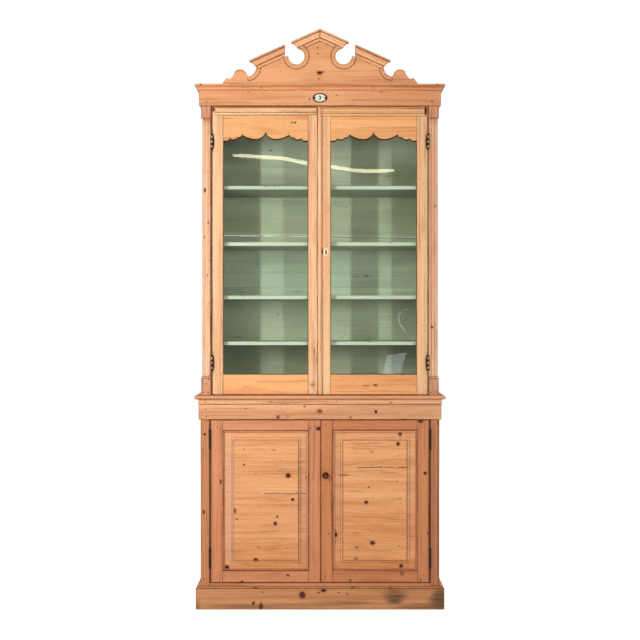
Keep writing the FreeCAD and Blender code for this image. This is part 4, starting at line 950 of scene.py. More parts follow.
@dataclass(frozen=True)
class Metal(Finish):
    """Old metal with a worn skin, rubbed bright where hands and edges touch; it can carry painted shade at
    knuckle joints and round a keyhole.
    """

    relief: ClassVar[float] = 0.00015
    constants: ClassVar[dict[str, float]] = {"Metallic": 1.0}
    FINE_LUMPS: ClassVar[float] = 520.0
    PATCH_LUMPS: ClassVar[float] = 95.0
    KNUCKLE_SHADE: ClassVar[Span] = (0.16, 0.34)
    KEYHOLE_SHADE_EDGE: ClassVar[Span] = (1.15, 0.85)
    skin: Colour = (44, 38, 34)
    rubbed: Colour = (96, 84, 74)
    rust_and_shade: Colour = (84, 50, 32)
    rough: float = 0.45
    rusty: float = 0.4
    knuckle_shade_pitch: float = 0.0
    knuckle_foot: float = 0.0
    keyhole_shade_centre: Point | None = None
    keyhole_shade_wide: float = 0.0044
    keyhole_shade_tall: float = 0.0105

    def layers(self, sheet: ShaderSheet) -> Surface:
        """Works out the finish.

        Args:
            sheet: The material's tree.

        Returns:
            The colour, the roughness and the relief.
        """
        place = sheet.place()
        arris = sheet.attribute("arris", "Fac")
        fine = sheet.noise(place, self.FINE_LUMPS, 3.0)
        patch = sheet.noise(place, self.PATCH_LUMPS, 4.0)
        worn = (patch, 0.5, 0.75, self.rusty, self.rust_and_shade), (fine, 0.55, 0.8, 0.35, self.rubbed)
        colour = sheet.glazed(paint(self.skin), *worn)
        colour = sheet.blend(arris * 0.6, colour, paint(self.rubbed))
        # Painted shade at the joints between the knuckles, so that their middles read as highlights.
        if self.knuckle_shade_pitch:
            knuckle_joint_shade = (((place.part("Z") - self.knuckle_foot) / self.knuckle_shade_pitch).turn() - 0.5).size()
            colour = sheet.blend(knuckle_joint_shade.ease(*self.KNUCKLE_SHADE), colour, paint(self.rust_and_shade))
        # Painted shade round the keyhole, wider than the real hole.
        if self.keyhole_shade_centre:
            scale = (1 / self.keyhole_shade_wide, 0.0, 1 / self.keyhole_shade_tall)
            reach = ((place - self.keyhole_shade_centre) * scale).length()
            colour = sheet.blend(reach.ease(*self.KEYHOLE_SHADE_EDGE), colour, paint(self.rust_and_shade))
        roughness = self.rough + fine * 0.14 + patch * 0.12 - arris * 0.1
        return Surface(colour, roughness, fine * 0.5 + patch * 0.5)


@dataclass(frozen=True)
class Enamel(Finish):
    """White fired enamel in an oval with a dark rim, crazed and chipped at the edge."""

    relief: ClassVar[float] = 0.0002
    constants: ClassVar[dict[str, float]] = {"Coat Weight": 0.5, "Coat Roughness": 0.08}
    CHIP_LUMPS: ClassVar[float] = 420.0
    CHIP_DEPTH: ClassVar[float] = 0.09
    CRAZE_LUMPS: ClassVar[float] = 900.0
    RIM_FROM: ClassVar[Span] = (0.74, 0.82)
    EDGE_FALL: ClassVar[Span] = (0.8, 0.95)
    PIN_EDGE: ClassVar[Span] = (1.2, 0.7)
    centre: Point = (0.0, 0.0, 0.0)
    half_wide: float = 0.02
    half_tall: float = 0.012
    white: Colour = (240, 236, 224)
    crazing: Colour = (196, 184, 164)
    rim: Colour = (50, 24, 10)
    pin_place: float = 0.022
    pin_dirt: float = 0.0042

    def layers(self, sheet: ShaderSheet) -> Surface:
        """Works out the finish.

        Args:
            sheet: The material's tree.

        Returns:
            The colour, the roughness and the relief.
        """
        place = sheet.place()
        scale = (1 / self.half_wide, 0.0, 1 / self.half_tall)
        chips = sheet.noise(place, self.CHIP_LUMPS, 3.0)
        reach = ((place - self.centre) * scale).length() + (chips - 0.5) * self.CHIP_DEPTH
        craze = sheet.noise(place, self.CRAZE_LUMPS, 2.0)
        colour = sheet.glazed(paint(self.white), (craze, 0.6, 0.8, 0.16, self.crazing))
        colour = sheet.blend(reach.ease(*self.RIM_FROM), colour, paint(self.rim))
        beside = (place - self.centre).part("X").size() - self.pin_place
        level = (place - self.centre).part("Z")
        spot = (beside * beside + level * level) / (self.pin_dirt * self.pin_dirt)
        colour = sheet.blend(spot.ease(*self.PIN_EDGE), colour, paint(self.rim))
        roughness = 0.16 + chips * 0.16
        return Surface(colour, roughness, 0.5 + craze * 0.2 - reach.ease(*self.EDGE_FALL) * 0.4)


@dataclass(frozen=True)
class Blacking(Finish):
    """Dark paint, or putty with painted shade, a little faded."""

    relief: ClassVar[float] = 0.0001
    LUMPS: ClassVar[float] = 700.0
    constants: ClassVar[dict[str, float]] = {"Specular IOR Level": 0.1}
    ink: Colour = (26, 16, 10)
    faded: Colour = (64, 52, 44)

    def layers(self, sheet: ShaderSheet) -> Surface:
        """Works out the finish.

        Args:
            sheet: The material's tree.

        Returns:
            The colour, the roughness and the relief.
        """
        fade = sheet.noise(sheet.place(), self.LUMPS, 2.0)
        colour = sheet.glazed(paint(self.ink), (fade, 0.6, 0.8, 0.5, self.faded))
        return Surface(colour, 0.3 + fade * 0.2, fade)


class GrainRun(Enum):
    """Which way the grain of a board runs."""

    LONGEST = "along the longest edge"
    LEVEL = "from left to right"


@dataclass(frozen=True)
class Joiner:
    """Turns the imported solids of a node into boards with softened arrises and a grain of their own."""

    weld: float = 1e-6
    flat_angle: float = math.radians(0.5)
    arris_angle: float = math.radians(24)
    crease_angle: float = math.radians(38)
    least_side: float = 0.3
    heart_off: Span = (0.07, 0.17)
    log_length: Span = (0, 40)
    log_depth: Span = (0.02, 0.07)

    def solids(self, node: str) -> list[bmesh.types.BMesh]:
        """Parts a node into its solids: a solid ends where its surface closes.

        Args:
            node: The node's name.

        Returns:
            One mesh for each solid.
        """
        mesh = frame["nodes"][node].data
        mesh.calc_loop_triangles()
        made, open_edges = [], set()
        corners: dict[tuple[int, int, int], bmesh.types.BMVert] = {}
        solid = bmesh.new()
        for triangle in mesh.loop_triangles:
            points = [mesh.vertices[i].co for i in triangle.vertices]
            keys = [tuple(round(part / self.weld) for part in point) for point in points]
            for key, point in zip(keys, points):
                if key not in corners:
                    corners[key] = solid.verts.new(point)
            for step in range(3):
                edge = keys[step], keys[(step + 1) % 3]
                if (edge[1], edge[0]) in open_edges:
                    open_edges.remove((edge[1], edge[0]))
                else:
                    open_edges.add(edge)
            if len(set(keys)) == 3:
                solid.faces.new([corners[key] for key in keys])
            if not open_edges:
                made.append(solid)
                solid = bmesh.new()
                corners = {}
        if solid.faces:
            made.append(solid)
        return made

    def frame_of(self, solid: bmesh.types.BMesh, run: GrainRun) -> tuple[Vector, Vector, Vector]:
        """The directions along, across and through a board.

        Args:
            solid: The board.
            run: Which way its grain runs.

        Returns:
            Three unit vectors.
        """
        along = Vector((1, 0, 0))
        if run is GrainRun.LONGEST:
            solid.normal_update()
            arrises = [edge for edge in solid.edges if edge.calc_face_angle(0.0) > self.arris_angle]
            longest = max(arrises or solid.edges, key=lambda edge: edge.calc_length())
            along = (longest.verts[1].co - longest.verts[0].co).normalized()
            along = along if along[max(range(3), key=lambda i: abs(along[i]))] > 0 else -along
        spans = []
        for axis in (Vector((1, 0, 0)), Vector((0, 1, 0)), Vector((0, 0, 1))):
            side = axis - along * axis.dot(along)
            if side.length > self.least_side:
                side.normalize()
                reach = [vertex.co.dot(side) for vertex in solid.verts]
                spans.append((max(reach) - min(reach), side))
        through = min(spans, key=lambda span: span[0])[1]
        return along, through.cross(along), through

    def soften(self, solid: bmesh.types.BMesh, width: float) -> None:
        """Merges a solid's flat faces and rounds its arrises.

        Args:
            solid: The solid, which is changed.
            width: The width of the rounded arris in metres.
        """
        bmesh.ops.dissolve_limit(
            solid, angle_limit=self.flat_angle, verts=solid.verts[:], edges=solid.edges[:]
        )
        sharp = [
            edge for edge in solid.edges
            if edge.is_manifold and edge.calc_face_angle(0.0) > self.arris_angle
        ]
        if width > 0 and sharp:
            bmesh.ops.bevel(
                solid, geom=sharp, offset=width, offset_type="OFFSET", segments=2, profile=0.5,
                affect="EDGES", clamp_overlap=True, material=1,
            )

    def piece(self, node: str, name: str, width: float, run: GrainRun) -> bpy.types.Object:
        """Makes the finished mesh of a node.

        Args:
            node: The node's name.
            name: The piece's name.
            width: The width of the rounded arrises in metres.
            run: Which way the grain of its boards runs.

        Returns:
            The new piece, at the origin, with its grain, tone and arris attributes.
        """
        whole = bmesh.new()
        grain_layer = whole.verts.layers.float_vector.new("grain")
        tone_layer = whole.verts.layers.float.new("tone")
        arris_layer = whole.faces.layers.float.new("arris")
        for number, solid in enumerate(self.solids(node)):
            chance = random.Random(f"{node} {number}")
            along, across, through = self.frame_of(solid, run)
            middle = sum((vertex.co for vertex in solid.verts), Vector()) / len(solid.verts)
            self.soften(solid, width)
            heartward = chance.choice((-1, 1)) * chance.uniform(*self.heart_off)
            start = Vector((chance.uniform(*self.log_length), heartward, chance.uniform(*self.log_depth)))
            tone = chance.uniform(-1, 1)
            twins = {}
            for vertex in solid.verts:
                twin = whole.verts.new(vertex.co)
                away = vertex.co - middle
                twin[grain_layer] = start + Vector((away.dot(along), away.dot(across), away.dot(through)))
                twin[tone_layer] = tone
                twins[vertex] = twin
            for face in solid.faces:
                twin_face = whole.faces.new([twins[vertex] for vertex in face.verts])
                twin_face[arris_layer] = float(face.material_index)
                twin_face.smooth = True
            solid.free()
        mesh = bpy.data.meshes.new(name)
        whole.to_mesh(mesh)
        whole.free()
        mesh.set_sharp_from_angle(angle=self.crease_angle)
        return self.even_normals(set_out(name, mesh))

    @staticmethod
    def even_normals(piece: bpy.types.Object) -> bpy.types.Object:
        """Lets the large faces rule a piece's shading.

        Args:
            piece: The piece.

        Returns:
            The same piece, as a plain mesh.
        """
        modifier = piece.modifiers.new("even", "WEIGHTED_NORMAL")
        modifier.keep_sharp = True
        return settle(piece)


def settle(piece: bpy.types.Object) -> bpy.types.Object:
    """Turns a piece with modifiers into a plain mesh.

    Args:
        piece: The piece.

    Returns:
        The same piece, with its modifiers worked in.
    """
    layer = bpy.context.evaluated_depsgraph_get()
    shown = piece.evaluated_get(layer)
    made = bpy.data.meshes.new_from_object(shown, preserve_all_data_layers=True, depsgraph=layer)
    made.name = piece.name
    piece.modifiers.clear()
    piece.data = made
    return piece


def body_of(node: str) -> str:
    """The name of the body that carries a node."""
    bodies = frame["record"]["behaviour"]["bodies"]
    return next(body for body, members in bodies.items() if node in members)


def slot_of(node: str) -> str:
    """The name of the material slot that the record gives a node."""
    return next(row["material_slot"] for row in frame["record"]["subparts"] if row["node"] == node)


def in_front(node: str, x: float, z: float) -> Point:
    """The point of a node's front that stands at a place seen from the front.

    Args:
        node: The node's name.
        x: Sideways place in millimetres.
        z: Height in millimetres.

    Returns:
        The point on the node's surface, in metres.
    """
    mesh = frame["nodes"][node].data
    faces = [tuple(face.vertices) for face in mesh.polygons]
    shape = BVHTree.FromPolygons([vertex.co for vertex in mesh.vertices], faces)
    place = shape.ray_cast(Vector((x * MM, -1.0, z * MM)), Vector((0.0, 1.0, 0.0)))[0]
    if place is None:
        raise ValueError(f"{node} has nothing in front at {x}, {z}")
    return place.x, place.y, place.z


@dataclass
class HeadTree:
    """A geometry tree that sets a small round head on each point of a mesh."""

    name: str = "small_heads"
    sides: int = 12
    rings: int = 6
    tilt: float = 0.1
    turned: float = 6.28
    grown: Span = (0.8, 1.2)
    tree: bpy.types.NodeTree | None = None
    inputs: dict[str, str] = field(default_factory=dict)

    def build(self) -> None:
        """Builds the tree with its named inputs."""
        tree = bpy.data.node_groups.new(self.name, "GeometryNodeTree")
        kinds = {
            "Geometry": "NodeSocketGeometry", "Radius": "NodeSocketFloat", "Rise": "NodeSocketFloat",
            "Sides": "NodeSocketInt", "Seed": "NodeSocketInt", "Finish": "NodeSocketMaterial",
        }
        for label, kind in kinds.items():
            made = tree.interface.new_socket(name=label, in_out="INPUT", socket_type=kind)
            self.inputs[label] = made.identifier
        tree.interface.new_socket(name="Geometry", in_out="OUTPUT", socket_type="NodeSocketGeometry")
        start = tree.nodes.new("NodeGroupInput")
        end = tree.nodes.new("NodeGroupOutput")
        ball = tree.nodes.new("GeometryNodeMeshUVSphere")
        ball.inputs["Rings"].default_value = self.rings
        flat = tree.nodes.new("ShaderNodeCombineXYZ")
        flat.inputs["X"].default_value = 1.0
        flat.inputs["Z"].default_value = 1.0
        press = tree.nodes.new("GeometryNodeTransform")
        turn = tree.nodes.new("FunctionNodeRandomValue")
        turn.data_type = "FLOAT_VECTOR"
        turn.inputs["Min"].default_value = (-self.tilt, 0.0, -self.tilt)
        turn.inputs["Max"].default_value = (self.tilt, self.turned, self.tilt)
        grow = tree.nodes.new("FunctionNodeRandomValue")
        grow.data_type = "FLOAT"
        grow.inputs[2].default_value, grow.inputs[3].default_value = self.grown
        scatter = tree.nodes.new("GeometryNodeInstanceOnPoints")
        real = tree.nodes.new("GeometryNodeRealizeInstances")
        dress = tree.nodes.new("GeometryNodeSetMaterial")
        links = (
            (start, "Sides", ball, "Segments"), (start, "Radius", ball, "Radius"),
            (start, "Rise", flat, "Y"), (ball, "Mesh", press, "Geometry"),
            (flat, "Vector", press, "Scale"), (start, "Seed", turn, "Seed"),
            (start, "Seed", grow, "Seed"), (start, "Geometry", scatter, "Points"),
            (press, "Geometry", scatter, "Instance"), (turn, 0, scatter, "Rotation"),
            (grow, 1, scatter, "Scale"), (scatter, "Instances", real, "Geometry"),
            (real, "Geometry", dress, "Geometry"), (start, "Finish", dress, "Material"),
            (dress, "Geometry", end, "Geometry"),
        )
        for source, output, target, entry in links:
            tree.links.new(source.outputs[output], target.inputs[entry])
        self.tree = tree

    def place(
        self, name: str, body: str, points: list[Point], radius: float, rise: float, finish: Finish, slot: str
    ) -> bpy.types.Object:
        """Sets heads on points of one body.

        Args:
            name: The piece's name.
            body: The body that carries the heads.
            points: Where they sit, in metres.
            radius: The radius of a head in metres.
            rise: How far it stands proud, as a share of its radius.
            finish: What it is made of.
            slot: The record's slot for it; not used.

        Returns:
            The piece with all the heads.
        """
        if self.tree is None:
            self.build()
        mesh = bpy.data.meshes.new(name)
        mesh.from_pydata(points, [], [])
        piece = set_out(name, mesh)
        modifier = piece.modifiers.new("heads", "NODES")
        modifier.node_group = self.tree
        values = {
            "Radius": radius, "Rise": rise, "Sides": self.sides, "Seed": len(points),
            "Finish": finish.material(),
        }
        for label, value in values.items():
            modifier[self.inputs[label]] = value
        settle(piece)
        piece.data.shade_smooth()
        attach(piece, body)
        return piece


@dataclass
class SubAssembly:
    """Pieces of the bookcase that are made and finished together."""

    joiner: Joiner
    heads: HeadTree
    pieces: list[bpy.types.Object] = field(default_factory=list)
    proud: ClassVar[float] = 0.22

    def board(
        self, node: str, finish: Finish, arris: float = 1.2, run: GrainRun = GrainRun.LONGEST
    ) -> bpy.types.Object:
        """Makes the finished piece that stands for a node.

        Args:
            node: The node's name.
            finish: What the piece is made of.
            arris: The width of its rounded arrises in millimetres.
            run: Which way its grain runs.

        Returns:
            The piece, riding on the node's body.
        """
        piece = self.joiner.piece(node, f"{node}_dressed", arris * MM, run)
        piece.data.materials.clear()
        piece.data.materials.append(finish.material())
        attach(piece, body_of(node))
        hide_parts(node)
        slot_of(node)
        self.pieces.append(piece)
        return piece

    def boards(self, arris: float, **finishes: Finish) -> None:
        """Makes the finished pieces of several nodes, with arrises of one width in millimetres."""
        for node, finish in finishes.items():
            self.board(node, finish, arris)

    def parted_board(self, node: str, finish: Finish, other: Finish, arris: float, heights: Span) -> None:
        """Makes the finished piece of a node that has another finish between two heights.

        Args:
            node: The node's name.
            finish: What the piece is made of elsewhere.
            other: What it is made of between the heights.
            arris: The width of its rounded arrises in millimetres.
            heights: The two heights in metres.
        """
        piece = self.board(node, finish, arris)
        piece.data.materials.append(other.material())
        for face in piece.data.polygons:
            face.material_index = int(heights[0] < face.center.z < heights[1])

    def coat(self, node: str, finish: Finish) -> None:
        """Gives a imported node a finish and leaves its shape.

        Args:
            node: The node's name.
            finish: What the node is made of.
        """
        shown = frame["nodes"][node]
        shown.data.materials.clear()
        shown.data.materials.append(finish.material())
        self.pieces.append(shown)

    def nails(self, name: str, body: str, places: dict[str, tuple[Spot, ...]], radius: float) -> None:
        """Sets nail heads on the fronts of named nodes.

        Args:
            name: The piece's name.
            body: The body that carries the nails.
            places: For each node the sideways place and the height of its nails, in millimetres.
            radius: The radius of a head in millimetres.
        """
        points = [in_front(node, *spot) for node, spots in places.items() for spot in spots]
        finish = Metal("nail_iron", skin=(58, 30, 16), rubbed=(84, 48, 28), rust_and_shade=(74, 38, 18), rusty=0.6)
        self.pieces.append(self.heads.place(name, body, points, radius * MM, self.proud, finish, "iron"))

    def build(self) -> None:
        """Builds the pieces."""
        raise NotImplementedError


@dataclass
class BaseCupboard(SubAssembly):
    """The lower carcase: plinth, sides, reeded stiles, floor and back."""

    arris: float = 1.6
    plinth_arris: float = 2.2
    nail_radius: float = 2.3
    plinth_knots: tuple[Knot, ...] = (
        Knot(-269, 91, 8, 3, 0.6), Knot(-239, 72, 4, 2, 0.5), Knot(-74, 62, 12, 13, 0.75),
        Knot(-278, 27, 5, 7, 0.75), Knot(-247, 14, 7, 13, 0.7), Knot(15, 80, 11, 6, 0.8),
        Knot(-5, 72, 5, 3, 0.7), Knot(78, 71, 3, 3, 0.8), Knot(114, 66, 2.5, 3, 0.7),
        Knot(135, 94, 6, 4, 0.5), Knot(293, 91, 6, 5, 0.45),
    )
    plinth_stains: tuple[Stain, ...] = (
        Stain(313, 60, 56, 30, 1.0), Stain(311, 34, 36, 14, 0.9), Stain(508, 46, 44, 56, 1.0),
        Stain(500, 34, 50, 44, 0.8), Stain(80, 28, 190, 12, 0.55), Stain(-330, 12, 170, 14, 0.5),
        Stain(430, 12, 130, 16, 0.8), Stain(-515, 20, 20, 30, 0.6), Stain(-120, 10, 260, 16, 0.45),
    )
    stile_knots: tuple[Knot, ...] = (
        Knot(-483, 731, 5, 5, 0.7), Knot(-488, 405, 5, 7, 0.6), Knot(495, 780, 3, 10, 0.5),
    )
    plinth_dirt: tuple[Groove, ...] = (Groove(-521, 521, -40, 87, 3, 0.55),)
    # Dark outline of the door opening: dirt, and painted shade beside the door gaps.
    stile_dirt_and_shade: tuple[Groove, ...] = (Groove(-464, 464, 104, 794, 5, 0.85),)
    # A darker right stile, and thin painted shade lines along the stiles' outer edges.
    stile_stains: tuple[Stain, ...] = (
        Stain(482, 440, 50, 480, 0.35, (128, 70, 34)), Stain(497, 455, 6, 900, 0.65, (84, 46, 24)),
        Stain(-499, 455, 5, 900, 0.4, (120, 80, 58)),
    )
    nailed: tuple[Spot, ...] = ((-482, 786), (-471, 786), (-487, 124), (-477, 124))

    def build(self) -> None:
        """Builds and finishes the lower carcase."""
        plinth = Pine(
            "pine_plinth", early=(222, 158, 106), late=(170, 104, 60), ruddy=(188, 118, 70),
            smear=(88, 66, 38), knots=self.plinth_knots, stains=self.plinth_stains, grooves=self.plinth_dirt,
        )
        stiles = Pine(
            "pine_base_stiles", early=(213, 147, 101), late=(173, 101, 61), ruddy=(191, 117, 72),
            knots=self.stile_knots, grooves=self.stile_dirt_and_shade, stains=self.stile_stains,
        )
        plain = Pine("pine_base_boards", early=(228, 164, 114), late=(190, 118, 72), scattered=0.8)
        self.board("plinth_boards", plinth, self.plinth_arris)
        self.boards(self.arris, base_sides=plain, base_stiles=stiles, base_floor=plain, base_back=plain)
        self.nails("base_nails", "case", {"base_stiles": self.nailed}, self.nail_radius)


@dataclass
class Waist(SubAssembly):
    """The fascia, its strip and the nosed top between the two stages."""

    arris: float = 1.4
    nail_radius: float = 2.4
    knots: tuple[Knot, ...] = (
        Knot(-1, 829, 9, 8, 0.55), Knot(-176, 804, 7, 7, 0.55), Knot(-312, 839, 4, 2, 0.4),
        Knot(-65, 849, 6, 2.5, 0.5), Knot(-135, 807, 6, 4, 0.25), Knot(128, 803, 5, 3.5, 0.5),
        Knot(234, 827, 5.5, 5.5, 0.85), Knot(298, 866, 3.5, 3, 0.4),
    )
    stains: tuple[Stain, ...] = (Stain(330, 826, 260, 40, 0.35, (176, 104, 58)),)
    # Dark lines round the fascia and its strip: dirt, and painted shade where they meet.
    dirt: tuple[Groove, ...] = (Groove(-511, 511, 794, 900, 3.5, 0.7), Groove(-512, 512, 857, 900, 3, 0.5))
    # Dark lines at the top and foot of the nosing: dirt, and painted shade under its overhang.
    top_dirt_and_shade: tuple[Groove, ...] = (Groove(-526, 526, 878.5, 900, 4, 0.9),)
    # A pale band along the top of the nosing: a painted highlight.
    painted_nosing_highlight: tuple[Stain, ...] = (Stain(0, 889.5, 3000, 4, 0.6, (252, 200, 150)),)
    nailed: tuple[Spot, ...] = ((-205, 868), (68, 868), (-480, 868), (-478, 838), (-476, 807))

    def build(self) -> None:
        """Builds and finishes the waist."""
        fascia = Pine(
            "pine_fascia", early=(244, 185, 135), late=(206, 134, 86), knots=self.knots, grooves=self.dirt,
            stains=self.stains,
        )
        top = Pine(
            "pine_waist_top", early=(222, 156, 108), late=(178, 106, 62), grooves=self.top_dirt_and_shade,
            stains=self.painted_nosing_highlight, scattered=0.4, edge_dirt_and_shade=0.2,
        )
        self.boards(self.arris, waist_fascia=fascia, waist_top=top)
        self.nails("waist_nails", "case", {"waist_fascia": self.nailed}, self.nail_radius)


@dataclass
class UpperCase(SubAssembly):
    """The upper carcase: sides, top, painted inside, shelves and reeded pilasters."""

    arris: float = 1.4
    back_arris: float = 0.6
    nail_radius: float = 2.2
    inner_half: float = 0.4765
    top_underside: float = 2.155
    back_front: float = 0.1912
    in_base: Span = (0.0, 0.9)
    # Joints in the back, drawn as a pale line of bare wood and painted light with a painted shadow under it.
    seams: tuple[Crack, ...] = (Crack(-480, -30, 1594, 3.0, 0.6), Crack(30, 480, 1592, 3.0, 0.95))
    # Pale patches are painted light and dark patches painted shade, in the compartments of the back.
    patches: tuple[Stain, ...] = (
        Stain(-60, 1430, 600, 120, 0.45, (216, 239, 225)), Stain(0, 1215, 700, 90, 0.45, (232, 242, 220)),
        Stain(0, 1990, 700, 70, 0.4, (240, 246, 234)), Stain(390, 1680, 110, 130, 0.55, (134, 134, 84)),
        Stain(-370, 1680, 140, 90, 0.3, (150, 150, 106)), Stain(-360, 1025, 130, 70, 0.65, (120, 122, 90)),
        Stain(390, 1872, 120, 70, 0.7, (130, 134, 94)), Stain(-330, 1850, 200, 50, 0.3, (130, 132, 96)),
        Stain(-410, 1975, 110, 90, 0.4, (110, 110, 80)), Stain(-410, 1225, 100, 130, 0.3, (120, 124, 92)),
        Stain(400, 1210, 90, 110, 0.3, (120, 126, 96)),
    )
    back_cracks: tuple[Crack, ...] = (
        Crack(-480, 480, 1425, 1.5, 0.4), Crack(-480, 480, 1192, 1.4, 0.3), Crack(-385, -345, 1337, 2.2, 0.7),
        Crack(-122, -84, 1340, 2.2, 0.7), Crack(-392, -350, 1133, 2.5, 0.75), Crack(140, 240, 1409, 2.0, 0.6),
        Crack(-440, -60, 1848, 1.4, 0.4), Crack(60, 460, 1776, 1.4, 0.4),
    )
    chips: tuple[Knot, ...] = (
        Knot(-230, 1779, 5, 3, 0.8), Knot(-215, 1780, 4, 3, 0.7), Knot(-190, 1780, 6, 3, 0.75),
        Knot(-174, 1779, 3, 3, 0.7), Knot(-66, 1780, 5, 2, 0.5), Knot(300, 1540, 6, 3, 0.5),
        Knot(-330, 1315, 5, 3, 0.5), Knot(210, 1120, 6, 3, 0.5),
    )
    back_knots: tuple[Knot, ...] = (
        Knot(-221, 1977, 6, 3.5, 0.7), Knot(-285, 1464, 4, 3, 0.6), Knot(211, 1411, 8, 4, 0.6),
        Knot(310, 1862, 7, 4, 0.4), Knot(-190, 1236, 7, 4, 0.4), Knot(120, 1720, 6, 4, 0.4),
    )
    # Colour on the right pilaster and on the capital and base blocks; the long thin stains along the
    # pilasters' edges are painted shade beside the door gaps and at the case's corners.
    block_stains_and_edge_shade: tuple[Stain, ...] = (
        Stain(478, 1500, 60, 760, 0.22, (196, 118, 64)), Stain(-459, 1516, 5.6, 1500, 1.0, (104, 48, 18)),
        Stain(461, 1516, 7, 1500, 0.35, (150, 84, 44)), Stain(-496, 1516, 11, 1500, 0.55, (150, 104, 80)),
        Stain(497, 1516, 8, 1500, 0.6, (130, 86, 62)),
        Stain(-478, 2086, 62, 52, 0.85), Stain(478, 2086, 58, 48, 0.75), Stain(-478, 930, 58, 52, 0.6),
        Stain(478, 930, 58, 52, 0.6),
    )
    post_knots: tuple[Knot, ...] = (
        Knot(-484, 1757, 4, 8, 0.7), Knot(-470, 1620, 2, 5, 0.6), Knot(-486, 1560, 2, 4, 0.6),
        Knot(-474, 1400, 2, 4, 0.5), Knot(470, 1180, 4, 4, 0.9), Knot(484, 1690, 2, 4, 0.6),
    )
    # Outlines of the capital blocks, base blocks and shafts: dirt, and painted shade along the edges.
    post_dirt_and_shade: tuple[Groove, ...] = (
        Groove(-500, -456, 2059, 2110, 4, 0.7), Groove(456, 500, 2059, 2110, 4, 0.7),
        Groove(-500, -456, 895, 966, 3.5, 0.65), Groove(456, 500, 895, 966, 3.5, 0.65),
        Groove(-500, -456, 974, 2059, 3.5, 0.55), Groove(456, 500, 974, 2059, 3.5, 0.55),
    )
    nailed: tuple[Spot, ...] = (
        (-475, 2051), (470, 2060), (-480, 967), (-468, 962), (-480, 943), (-489, 906), (-470, 906),
        (470, 962), (488, 962), (467, 908), (488, 908),
    )

    def build(self) -> None:
        """Builds and finishes the upper carcase."""
        green = GreenPaint(
            "green_inside", seams=self.seams, patches=self.patches, cracks=self.back_cracks,
            knots=self.back_knots,
        )
        # A darker copy of the inside paint for the sides, the top's underside and the cleats: painted shade.
        shaded_green_copy = GreenPaint(
            "green_sides", coat=(158, 165, 139), thin=(140, 143, 113), chalk=(174, 182, 158)
        )
        # A lighter copy of the inside paint for the shelves, standing in for the light on their fronts, with
        # painted shade on their undersides.
        lit_shelf_green = GreenPaint(
            "green_shelves", coat=(226, 233, 217), thin=(210, 217, 196), chalk=(238, 244, 230), under=0.4,
            knots=self.chips,
        )
        plain = Pine("pine_case_boards", early=(232, 168, 118), late=(194, 122, 76), scattered=0.8)
        rough = Pine(
            "pine_case_back", early=(216, 158, 112), late=(176, 114, 74), ruddy=(188, 122, 80), scattered=0.9
        )
        pilaster = Pine(
            "pine_pilasters", early=(247, 204, 166), late=(218, 156, 114), ruddy=(231, 170, 131),
            knots=self.post_knots, stains=self.block_stains_and_edge_shade, smear=(184, 94, 34), grooves=self.post_dirt_and_shade,
        )
        sides = PaintedInside("pine_green_sides", plain, shaded_green_copy, Side.INWARD, self.inner_half)
        top = PaintedInside("pine_green_top", plain, shaded_green_copy, Side.DOWN, self.top_underside)
        back = PaintedInside("pine_green_back", rough, green, Side.FORWARD, self.back_front)
        self.boards(self.arris, case_sides=sides, case_top=top, case_floor=green)
        self.board("case_back", back, self.back_arris)
        for node, finish in (("shelves", lit_shelf_green), ("shelf_cleats", shaded_green_copy)):
            self.parted_board(node, finish, plain, self.arris, self.in_base)
        self.board("pilasters", pilaster, self.arris)
        self.nails("pilaster_nails", "case", {"pilasters": self.nailed}, self.nail_radius)


